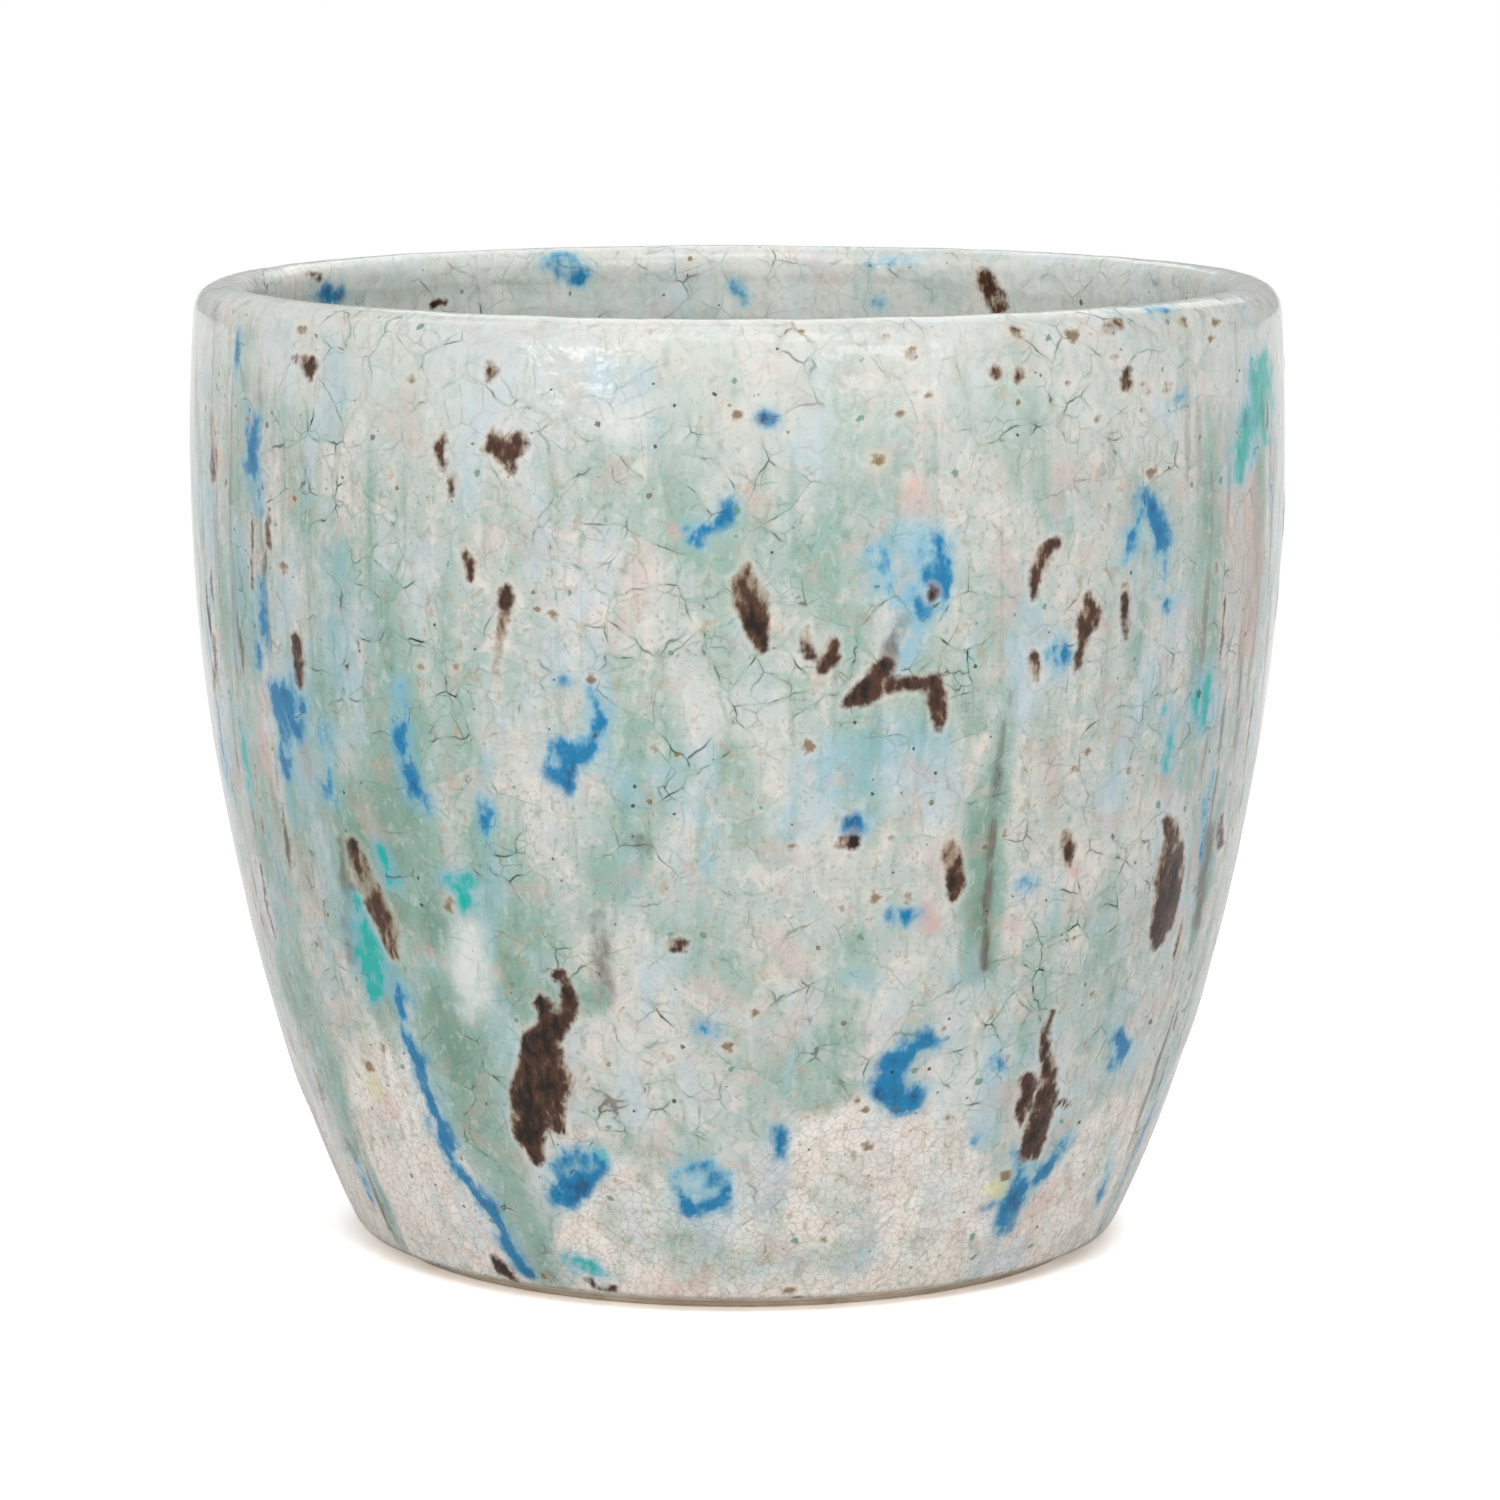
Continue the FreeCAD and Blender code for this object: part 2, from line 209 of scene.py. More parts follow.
TEAL = {
    "right fork": (0.9, 1.0, [(1264, 360, 8), (1263, 385, 13), (1262, 405, 15), (1253, 425, 11),
        (1246, 450, 7), (1241, 479, 3)]),
    "right fork prong": (0.9, 1.0, [(1267, 400, 8), (1267, 425, 7), (1265, 442, 5)]),
    "left cyan": (0.6, 0.5, [(379, 846, 4), (386, 866, 5), (391, 888, 4)]),
    "left deep": (0.6, 0.4, [(354, 902, 5), (360, 925, 9), (368, 950, 13), (373, 975, 14),
        (374, 997, 8)]),
    "left core": (1.1, 0.9, [(362, 932, 3), (368, 955, 6), (374, 980, 6), (377, 1000, 4)]),
    "left blob": (0.7, 0.8, [(452, 883, 11), (461, 886, 13), (466, 903, 9)]),
    "right faint": (0.5, 0.4, [(1170, 707, 4), (1171, 740, 5), (1169, 768, 3)]),
    "over the run top": (0.7, 0.6, [(1204, 682, 8), (1205, 703, 11), (1203, 724, 8)]),
    "blue corner": (0.9, 0.8, [(598, 1154, 4), (603, 1161, 5)]),
    "foot pale": (0.4, 0.4, [(575, 1268, 12), (595, 1272, 10)]),
}

# Soft washes melted into the glaze, some of them partly painted highlights: the same chains,
# with how strong they are at each end
GREEN_WASH = {
    "run body": (0.75, 0.95, [(432, 985, 34), (452, 1050, 44), (478, 1115, 42), (502, 1175, 34),
        (524, 1225, 28), (545, 1275, 22)]),
    "run left": (0.9, 0.8, [(345, 800, 22), (352, 860, 30), (368, 920, 34), (380, 985, 30),
        (383, 1035, 14)]),
    "left column": (0.55, 0.85, [(392, 560, 24), (388, 640, 24), (396, 730, 30), (400, 830, 36),
        (420, 930, 38)]),
    "left column two": (0.5, 0.6, [(330, 560, 24), (322, 650, 20), (320, 740, 20), (318, 800, 20)]),
    "left edge": (0.55, 0.6, [(238, 430, 12), (234, 520, 12), (243, 620, 14), (252, 740, 16),
        (270, 850, 18), (293, 960, 18), (322, 1060, 16), (350, 1150, 12)]),
    "edge beads": (0.7, 0.7, [(277, 930, 8), (288, 1000, 9), (330, 1060, 9), (352, 1150, 10)]),
    "upper left": (0.35, 0.45, [(240, 380, 20), (300, 430, 24), (310, 520, 24)]),
    "upper left two": (0.3, 0.4, [(400, 380, 24), (400, 470, 30), (390, 540, 30)]),
    "middle column": (0.35, 0.6, [(470, 620, 20), (455, 720, 24), (470, 800, 24), (500, 880, 30),
        (530, 950, 30)]),
    "body shoulder": (0.8, 0.8, [(505, 960, 22), (515, 1000, 20), (590, 1000, 16)]),
    "centre": (0.5, 0.75, [(640, 690, 34), (660, 760, 40), (640, 820, 34), (610, 880, 30)]),
    "centre right": (0.4, 0.4, [(730, 780, 36), (760, 860, 30)]),
    "centre low": (0.35, 0.35, [(690, 930, 36), (770, 990, 40), (850, 960, 36)]),
    "centre top": (0.25, 0.3, [(840, 400, 40), (900, 470, 46), (850, 560, 40), (720, 560, 40)]),
    "top middle": (0.25, 0.25, [(560, 480, 30), (640, 470, 34), (700, 600, 34)]),
    "grey streak": (0.5, 0.95, [(1012, 690, 10), (1000, 760, 12), (985, 830, 20), (985, 900, 20),
        (982, 970, 14)]),
    "right column": (0.35, 0.4, [(1010, 400, 26), (1040, 480, 26), (1100, 560, 26),
        (1120, 640, 26)]),
    "right edge": (0.5, 0.4, [(1222, 420, 20), (1215, 520, 18), (1205, 620, 20), (1200, 720, 16),
        (1185, 780, 14)]),
    "low middle": (0.3, 0.4, [(620, 1230, 30), (690, 1260, 34), (780, 1280, 26), (860, 1250, 20)]),
    "low right": (0.3, 0.35, [(820, 1050, 36), (850, 1110, 26), (770, 1090, 26)]),
    "beside the fork": (0.4, 0.3, [(850, 620, 20), (840, 660, 20)]),
    "far right": (0.3, 0.3, [(1130, 880, 24), (1100, 960, 24), (1090, 1040, 20)]),
    "lip inside": (0.6, 0.6, [(690, 560, 10), (700, 566, 10)]),
}
BLUE_WASH_AND_SHEEN = {
    "lilac head": (0.5, 0.7, [(905, 545, 30), (915, 575, 38), (905, 610, 28)]),
    "fork shade": (0.9, 0.9, [(918, 590, 20), (912, 630, 20), (900, 660, 14)]),
    "pale over right": (0.5, 0.5, [(840, 772, 34), (880, 745, 34), (920, 740, 24)]),
    "left cyan": (0.45, 0.35, [(332, 355, 10), (334, 400, 14), (330, 440, 10)]),
    "left cyan low": (0.4, 0.45, [(338, 560, 16), (338, 620, 20), (345, 680, 18)]),
    # Painted highlight: a pale blue laid where the glaze shows its sheen
    "white sheen": (0.35, 0.35, [(605, 380, 22), (640, 376, 16)]),
    "sheen low": (0.3, 0.3, [(655, 430, 14), (660, 450, 12)]),
    "hooked halo": (0.5, 0.45, [(596, 640, 10), (600, 700, 14), (590, 740, 16), (630, 800, 14)]),
    "pale vertical": (0.5, 0.45, [(709, 745, 6), (711, 800, 9), (708, 885, 8)]),
    "main halo": (0.55, 0.6, [(396, 680, 10), (402, 740, 12), (412, 800, 12)]),
    "left halo": (0.5, 0.5, [(300, 650, 14), (288, 720, 20), (286, 770, 12)]),
    "small left tail": (0.45, 0.35, [(486, 760, 8), (488, 840, 9), (486, 949, 8)]),
    "low pale": (0.45, 0.45, [(852, 976, 10), (872, 984, 12)]),
    "low pale two": (0.35, 0.35, [(954, 978, 8), (962, 984, 8)]),
    "pale by the drops": (0.4, 0.4, [(1034, 600, 14), (1058, 650, 12)]),
    "arch halo": (0.35, 0.35, [(1150, 520, 16), (1160, 590, 12)]),
    "low right pale": (0.4, 0.4, [(1000, 1040, 12), (985, 1140, 14)]),
    "far right": (0.35, 0.3, [(1130, 1000, 16), (1110, 1030, 14)]),
    "left edge": (0.45, 0.4, [(204, 380, 8), (206, 470, 6), (207, 590, 8)]),
    "left edge low": (0.4, 0.4, [(238, 560, 8), (234, 660, 8)]),
    "run pale": (0.5, 0.5, [(496, 1235, 8), (505, 1262, 8)]),
}
PINK_WASH = {
    "under the lip": (0.35, 0.3, [(505, 322, 12), (540, 330, 10)]),
    "left blush": (0.45, 0.4, [(407, 395, 10), (409, 425, 10)]),
    "ring": (0.45, 0.4, [(803, 388, 9), (815, 400, 8)]),
    "top right blush": (0.35, 0.3, [(850, 380, 16), (880, 378, 12)]),
    "bird head": (0.9, 0.8, [(671, 527, 6), (676, 536, 5)]),
    "lilac top": (0.7, 0.5, [(915, 488, 12), (918, 505, 14)]),
    "near pink": (0.95, 0.9, [(926, 908, 8), (932, 926, 10)]),
    "peach": (0.3, 0.3, [(640, 560, 16), (636, 600, 14)]),
    "middle blush": (0.4, 0.4, [(768, 850, 12), (790, 856, 12)]),
    "centre low": (0.35, 0.35, [(772, 938, 14), (800, 968, 16)]),
    "right blush": (0.45, 0.4, [(1053, 745, 8), (1053, 800, 8)]),
    "oval blush": (0.8, 0.8, [(1072, 866, 6), (1076, 876, 6)]),
    "left streak": (0.7, 0.7, [(258, 730, 4), (262, 756, 6), (266, 778, 4)]),
    "low blush": (0.4, 0.4, [(606, 1106, 8), (618, 1108, 8)]),
    "drop blush": (0.6, 0.5, [(921, 1108, 6), (926, 1114, 5)]),
    "low left": (0.35, 0.35, [(300, 850, 10), (312, 910, 12)]),
    "low middle": (0.4, 0.35, [(700, 985, 10), (740, 1006, 8)]),
    "column right": (0.35, 0.3, [(1225, 500, 12), (1240, 560, 12), (1230, 640, 10)]),
    "twin blush": (0.5, 0.4, [(1012, 1092, 6), (1016, 1100, 6)]),
    "right low": (0.35, 0.3, [(1168, 775, 10), (1170, 800, 8)]),
    "right edge": (0.6, 0.6, [(1253, 480, 10), (1257, 560, 12), (1250, 650, 10)]),
    "chip": (0.7, 0.7, [(287, 492, 5), (289, 500, 5)]),
    "chip two": (0.5, 0.5, [(339, 518, 5), (340, 524, 5)]),
    "top left": (0.3, 0.3, [(470, 330, 12), (480, 340, 12)]),
}
SMOKE_WASH = {
    "fork shadow": (0.5, 0.9, [(905, 618, 8), (895, 645, 10), (885, 668, 10)]),
    "long streak": (0.4, 0.8, [(1013, 688, 3), (1003, 740, 4), (996, 790, 5), (992, 850, 6),
        (988, 915, 5), (984, 972, 4)]),
    "beside body": (0.6, 0.6, [(594, 915, 9), (602, 960, 11), (606, 1004, 9)]),
    "blue brown right": (0.8, 0.7, [(1213, 826, 6), (1206, 870, 8), (1198, 928, 6)]),
    "lilac lump": (0.2, 0.25, [(1112, 440, 8), (1105, 472, 12)]),
    "pink brown": (0.6, 0.7, [(634, 840, 8), (644, 846, 9)]),
    "lip patch": (0.35, 0.35, [(1011, 340, 10), (1016, 360, 8)]),
    "left body": (0.6, 0.6, [(340, 840, 6), (350, 890, 8)]),
    "tail": (0.4, 0.3, [(524, 1180, 6), (519, 1206, 5)]),
    "edge low": (0.5, 0.5, [(344, 1140, 5), (352, 1160, 5)]),
    "right edge": (0.25, 0.3, [(1250, 500, 8), (1256, 580, 8), (1250, 650, 8)]),
    "beside tall left": (0.5, 0.5, [(345, 880, 8), (350, 960, 8)]),
}
# White washes: partly white glaze, partly painted highlight in the band under the lip and in the
# sheen beside it
WHITE_WASH_AND_HIGHLIGHT = {
    "drop window": (0.95, 0.95, [(468, 935, 16), (471, 975, 22), (472, 1010, 12)]),
    "under the lip": (0.7, 0.7, [(560, 340, 26), (700, 350, 26), (860, 345, 24), (960, 345, 20)]),
    "sheen": (0.9, 0.9, [(575, 350, 18), (620, 410, 34)]),
    "centre right": (0.25, 0.25, [(700, 700, 30), (760, 720, 30)]),
    "low middle": (0.2, 0.2, [(640, 1060, 34), (680, 1110, 40)]),
    "low right": (0.6, 0.6, [(960, 1090, 34), (985, 1060, 20)]),
    "right": (0.2, 0.2, [(840, 990, 34), (900, 1000, 24)]),
    "top right": (0.6, 0.6, [(1060, 385, 26), (1090, 410, 22)]),
}
OCHRE_TONE = 0.5
OCHRE_DOTS = [
    (299, 328, 5), (736, 415, 6), (1072, 334, 7), (1184, 319, 6), (1195, 306, 4), (1218, 323, 5),
    (1169, 386, 5), (1155, 473, 6), (1145, 411, 4), (801, 328, 5), (887, 336, 5), (912, 350, 6),
    (879, 462, 7), (903, 416, 5), (419, 666, 5), (453, 666, 4), (553, 615, 5), (592, 679, 6),
    (655, 748, 5), (811, 746, 7), (892, 839, 4), (875, 896, 6), (910, 898, 6), (872, 918, 4),
    (1008, 834, 4), (1087, 751, 5), (1098, 759, 4), (1076, 772, 4), (754, 1012, 6), (727, 1050, 6),
    (870, 1145, 6), (858, 1100, 4), (867, 1111, 4), (944, 1031, 4), (825, 1243, 5), (590, 1079, 5),
    (672, 1059, 5), (366, 1066, 6), (379, 1048, 4), (1092, 995, 5), (1075, 942, 4), (858, 1300, 6),
    (800, 1302, 6), (281, 569, 6), (411, 379, 5), (930, 396, 5), (842, 909, 4), (1130, 769, 4),
    (792, 1294, 7), (447, 906, 7), (1004, 1178, 7), (1010, 1059, 4), (792, 847, 5), (1099, 417, 4),
    (1212, 340, 4), (1117, 356, 4), (1070, 381, 3), (664, 1055, 4), (1090, 330, 3)
]
YELLOW_WASH = {
    "by the foot": (0.9, 0.9, [(994, 1190, 8), (1003, 1194, 10)]),
    "dot": (0.6, 0.6, [(878, 461, 6), (880, 463, 6)]),
    "left": (0.4, 0.4, [(368, 1078, 8), (372, 1096, 8)]),
}
CRACK_WASH = {
    "great crack": (1.0, 0.8, [(660, 752, 14), (658, 780, 14), (672, 806, 14), (690, 826, 12)]),
    "great crack arm": (0.9, 0.9, [(612, 804, 10), (661, 792, 10)]),
    "fork arc": (0.9, 0.9, [(878, 612, 14), (934, 610, 14)]),
    "fork y": (0.9, 0.9, [(955, 655, 22), (958, 700, 14)]),
    "left net": (0.6, 0.7, [(380, 560, 50), (400, 660, 60), (440, 760, 60), (480, 860, 50)]),
    "right net": (0.5, 0.5, [(880, 660, 50), (900, 720, 50), (800, 700, 40)]),
    "open cracks": (0.6, 0.6, [(655, 1010, 14), (655, 1090, 14), (700, 1060, 14), (695, 1150, 14)]),
    "centre net": (0.5, 0.5, [(610, 640, 40), (700, 600, 40), (760, 700, 40)]),
    "upper left net": (0.45, 0.45, [(330, 430, 40), (360, 500, 50)]),
    "body net": (0.6, 0.6, [(470, 1060, 40), (470, 1140, 30), (560, 960, 30)]),
    "right side": (0.4, 0.4, [(1050, 950, 40), (1000, 1030, 40)]),
}

# Splashes on the far inside wall, seen over the front lip
INSIDE_BROWN = {
    "drop": (0.7, 0.85, [(983, 273, 6), (986, 283, 9), (993, 297, 10), (998, 309, 8)]),
    "left crook": (0.9, 0.9, [(311, 268, 3), (319, 275, 4)]),
    "dark left": (0.9, 0.9, [(436, 302, 4), (444, 303, 4)]),
}
INSIDE_BLUE = {
    "dark left": (0.95, 1.0, [(327, 290, 8), (335, 294, 8)]),
    "pale": (0.2, 0.25, [(560, 258, 14), (572, 272, 14)]),
    "middle": (0.1, 0.25, [(740, 285, 6), (746, 300, 6)]),
    "middle dot": (0.25, 0.25, [(880, 306, 4), (884, 309, 4)]),
    "right pale": (0.0, 0.1, [(869, 262, 6), (916, 256, 6)]),
}
INSIDE_GREEN = {
    "band left": (0.1, 0.25, [(300, 285, 12), (420, 285, 16), (520, 290, 18)]),
    "band": (0.3, 0.3, [(600, 292, 20), (700, 300, 22), (800, 292, 22), (900, 290, 22),
        (960, 290, 18)]),
    "right": (0.1, 0.1, [(1030, 280, 14), (1130, 285, 14)]),
}
# White on the far inside wall: partly its white glaze, partly painted light that brightens this
# shaded wall
INSIDE_WHITE_AND_PAINTED_LIGHT = {
    "left": (0.9, 0.9, [(270, 290, 14), (400, 276, 16), (560, 266, 14), (750, 262, 14)]),
    "right": (1.0, 1.0, [(750, 262, 14), (900, 266, 14), (1030, 278, 20), (1130, 288, 20),
        (1210, 296, 14)]),
    "low": (0.7, 0.7, [(500, 300, 14), (700, 304, 14), (900, 302, 14)]),
}

# The marks of each family, on the near outside and on the far inside
MARKS = {
    "brown": (BROWN, INSIDE_BROWN),
    "blue": (BLUE, INSIDE_BLUE),
    "teal": (TEAL, {}),
    "green": (GREEN_WASH, INSIDE_GREEN),
    "sky_and_sheen": (BLUE_WASH_AND_SHEEN, {}),
    "pink": (PINK_WASH, {}),
    "smoke": (SMOKE_WASH, {}),
    "milk_and_highlight": (WHITE_WASH_AND_HIGHLIGHT, INSIDE_WHITE_AND_PAINTED_LIGHT),
    "yellow": (YELLOW_WASH, {}),
    "crack": (CRACK_WASH, {}),
}

# Colours of the glazes and the clay, as red, green and blue from 0 to 255
ROOM_WHITE = (255, 255, 255)
# White glaze, also laid on as painted highlight and painted light
WHITE = (226, 226, 221)
CHALK = (202, 201, 195)
PALE = (180, 190, 184)
GREEN = (146, 174, 162)
DEEP_GREEN = (100, 138, 118)
BEIGE = (240, 234, 226)
BEIGE_PINK = (232, 218, 208)
PINK = (208, 164, 156)
LILAC_BLUE = (174, 202, 220)
SKY = (126, 182, 202)
COBALT = (0, 116, 164)
NAVY = (14, 62, 104)
TURQUOISE = (0, 170, 158)
DEEP_TURQUOISE = (8, 118, 122)
OCHRE = (124, 96, 56)
RUST = (172, 146, 116)
BROWN_GLAZE = (78, 50, 36)
BLACK_BROWN = (27, 18, 13)
SMOKE = (128, 120, 110)
SMOKE_BROWN = (92, 78, 66)
YELLOW = (222, 214, 130)
CRACK_PALE = (122, 150, 134)
CRACK_GREEN = (70, 96, 84)
CRACK_BLACK = (38, 46, 44)
CRACK_BROWN = (110, 92, 78)
FIRED_CLAY = (216, 202, 186)
FIRED_CLAY_DARK = (192, 174, 152)

# How splashes are drawn on the coats, in millimetres: the narrowest a place near the picture's
# side edges is taken to look, how far outside a splash is still counted, and how washes fade
NARROWEST = 0.3
SPLASH_REACH = 3.0
TONE_BLEND = 0.7
LEAST_WEIGHT = 1e-6
WASH_FADE = 0.6
RAGGED_SIZE = 5.0
RAGGED_AMOUNT = 0.7
RAGGED_OFFSET = 31.7
TORN_SIZE = 2.0
TORN_AMOUNT = 0.3

# Splashes of the sides that the photograph doesn't show, in millimetres and degrees
HIDDEN_TURNS = (84, 276)
ALL_TURNS = (0, 360)
SCATTER_STEPS = 5
SCATTER_LOWEST = 14.0
SCATTER_HIGHEST = 162.0
SCATTER_HIGHEST_INSIDE = 148.0
SCATTER_FROM_MIDDLE = 8.0
LEAST_TURNING_RADIUS = WIDEST_RADIUS / 3
SWELL_START = 0.12
SWELL_SPAN = 0.8
TONE_DRIFT = 0.3

# Their shapes: how many, tones, lengths, widths, how far they lean, how late they swell
SCATTER_SHAPES = {
    "brown": (34, (0.4, 0.95), (2, 20), (0.8, 2.4), 0.35, 0.7),
    "blue": (40, (0.4, 1.0), (1, 22), (0.8, 2.4), 0.4, 0.8),
    "teal": (9, (0.4, 0.9), (2, 16), (0.8, 2.2), 0.3, 0.8),
    "ochre": (50, (0.4, 0.6), (0.1, 0.6), (0.6, 1.1), 0.5, 1.0),
    "green": (22, (0.3, 0.8), (15, 60), (3, 7), 0.12, 1.0),
    "sky_and_sheen": (18, (0.3, 0.6), (4, 25), (2, 4), 0.2, 1.0),
    "pink": (16, (0.3, 0.6), (1, 8), (1.2, 2.6), 0.4, 1.0),
    "smoke": (8, (0.3, 0.7), (4, 30), (0.8, 1.8), 0.15, 1.0),
    "milk_and_highlight": (10, (0.4, 0.9), (4, 14), (4, 8), 0.3, 1.0),
    "crack": (16, (0.4, 0.8), (8, 30), (4, 10), 0.4, 1.0),
}

# Narrow runs on both flanks, where the photograph shows the wall from its side
FLANK_TURNS = ((54, 98), (262, 306))
FLANK_SHAPES = {
    "brown": (16, (0.4, 1.0), (2, 16), (0.3, 0.9), 0.08, 1.2),
    "blue": (16, (0.3, 0.9), (4, 20), (0.3, 1.0), 0.08, 1.2),
    "teal": (4, (0.3, 0.7), (4, 16), (0.4, 1.0), 0.08, 1.2),
    "ochre": (22, (0.4, 0.6), (0.1, 1.0), (0.4, 0.9), 0.3, 1.0),
    "green": (12, (0.5, 1.0), (20, 60), (1.5, 4), 0.05, 1.0),
    "pink": (8, (0.4, 0.8), (3, 14), (0.8, 1.8), 0.1, 1.0),
    "smoke": (14, (0.4, 0.9), (6, 30), (0.5, 1.2), 0.05, 1.0),
}

# The lip isn't quite level: how far it dips opposite its high side, and its small waves
LIP_DIP_START = 150.0
LIP_DIP = 0.5
LIP_HIGH_SIDE = 110.0
LIP_WOBBLE = 0.1
LIP_WOBBLE_SIZE = 60.0

# Relief of the coats in millimetres: bumps by size and height, streaks down the wall, splashes
# raised from their edge inwards, how deep under the outline the faces lie, and the share of the
# relief on thin coats and at edges
BUMPS = [(45.0, 0.20), (14.0, 0.09), (5.0, 0.05)]
STREAK_SIZE = 9.0
STREAK_STRETCH = 0.15
STREAK_AMOUNT = 0.10
BROWN_RISE = 0.20
BLUE_RISE = 0.08
RISE_START = -0.4
BROWN_RISE_END = 1.6
BLUE_RISE_END = 2.0
FACE_DEPTH = 0.34
SHALLOWEST = 0.11
SHALLOW_SOFTNESS = 0.08
THIN_RELIEF = 0.3

# The poured coat's lower edge: its small waves, its step over the coat below, how far up it
# thickens, and how strongly and how far up the beige of the coat below shows through
DRIP_WOBBLE = 0.6
DRIP_WOBBLE_SIZE = 7.0
EDGE_STEP = 0.04
EDGE_FADE = 8.0
BARE_AT_EDGE = 1.0
BARE_FADE = 14.0

# Grids of the coats: columns round the pot, closer at the front, rows along its outline, closer at
# the drips, with a last narrow row inside, and the fewer rows of the faces under them
POURED_COLUMNS = 540
BASE_COLUMNS = 480
LINER_COLUMNS = 300
COLUMN_SAMPLES = 2000
EVEN_CROWDING = 1.0
FRONT_CROWDING = 1.9
FRONT_EDGE = 95.0
FRONT_FADE = 15.0
LEVEL_HEIGHT = 75.0
LOW_ROWS = 46
EDGE_CROWDING = 1.35
HIGH_ROWS = 90
FINE_INSIDE = 150.0
INSIDE_ROWS = 22
LAST_ROW = 0.2
UNDER_INSIDE_HEIGHTS = (84.0, 90.0, 93.5, 115.0, 140.0, 158.0)
UNDER_LIP_HEIGHT = 163.0
UNDER_LIP_ROWS = 7
UNDER_OUTSIDE_HEIGHTS = (150.0, 125.0, 100.0, 80.0, 60.0, 52.5, 50.0, 46.0)
LAP_MARGIN = 1.0
BASE_ROWS = 48
BASE_UNDER_STEP = 3
LINER_ROWS = 70
LINER_UNDER_STEP = 2
LINER_STILL = 8.0

# Noises of the materials: size in millimetres, detail, stretch along the height, offset, swirl
NOISES = {
    "streak": (9.0, 4.0, 0.25, 17.0, 0.5),
    "cloud": (22.0, 3.0, 1.0, 0.0, 0.0),
    "mottle": (4.0, 5.0, 1.0, 3.0, 0.6),
    "thread": (2.6, 4.0, 0.08, 71.0, 0.0),
    "flecks": (1.8, 5.0, 0.7, 83.0, 0.4),
    "dust": (0.8, 3.0, 1.0, 91.0, 0.0),
    "rust": (2.0, 4.0, 0.7, 97.0, 0.6),
    "lilac": (10.0, 4.0, 0.5, 11.0, 0.5),
    "blush": (8.0, 4.0, 1.0, 23.0, 0.6),
    "soft": (3.0, 4.0, 0.6, 29.0, 0.0),
    "ragged": (1.3, 4.0, 1.0, 37.0, 0.0),
    "grain": (1.1, 4.0, 0.4, 5.0, 0.4),
    "crackled places": (20.0, 2.0, 1.0, 41.0, 0.0),
    "broken": (4.0, 3.0, 1.0, 47.0, 0.0),
    "wander": (9.0, 3.0, 1.0, 0.0, 0.0),
    "fine wander": (3.0, 2.0, 1.0, 0.0, 0.0),
    "peel": (5.0, 2.0, 1.0, 61.0, 0.0),
    "skin": (1.2, 2.0, 1.0, 67.0, 0.0),
    "clay": (6.0, 4.0, 1.0, 0.0, 0.0),
    "grit": (0.6, 3.0, 1.0, 3.0, 0.0),
}

# The middle of a noise's values
MIDDLE = 0.5

# Thin layers of the ground, one over another: the noise that shows each, from where to where,
# how strongly, its colour, and whether it shows on the flanks alone
GROUND_LAYERS = [
    ("thread", 0.54, 0.74, 0.35, DEEP_GREEN, False),
    ("thread", 0.46, 0.30, 1.0, SMOKE, True),
    ("flecks", 0.57, 0.75, 0.45, DEEP_GREEN, False),
    ("flecks", 0.47, 0.32, 0.25, WHITE, False),
    ("dust", 0.56, 0.72, 0.4, SMOKE, False),
    ("rust", 0.58, 0.72, 0.5, RUST, False),
    ("lilac", 0.48, 0.72, 0.45, LILAC_BLUE, False),
]

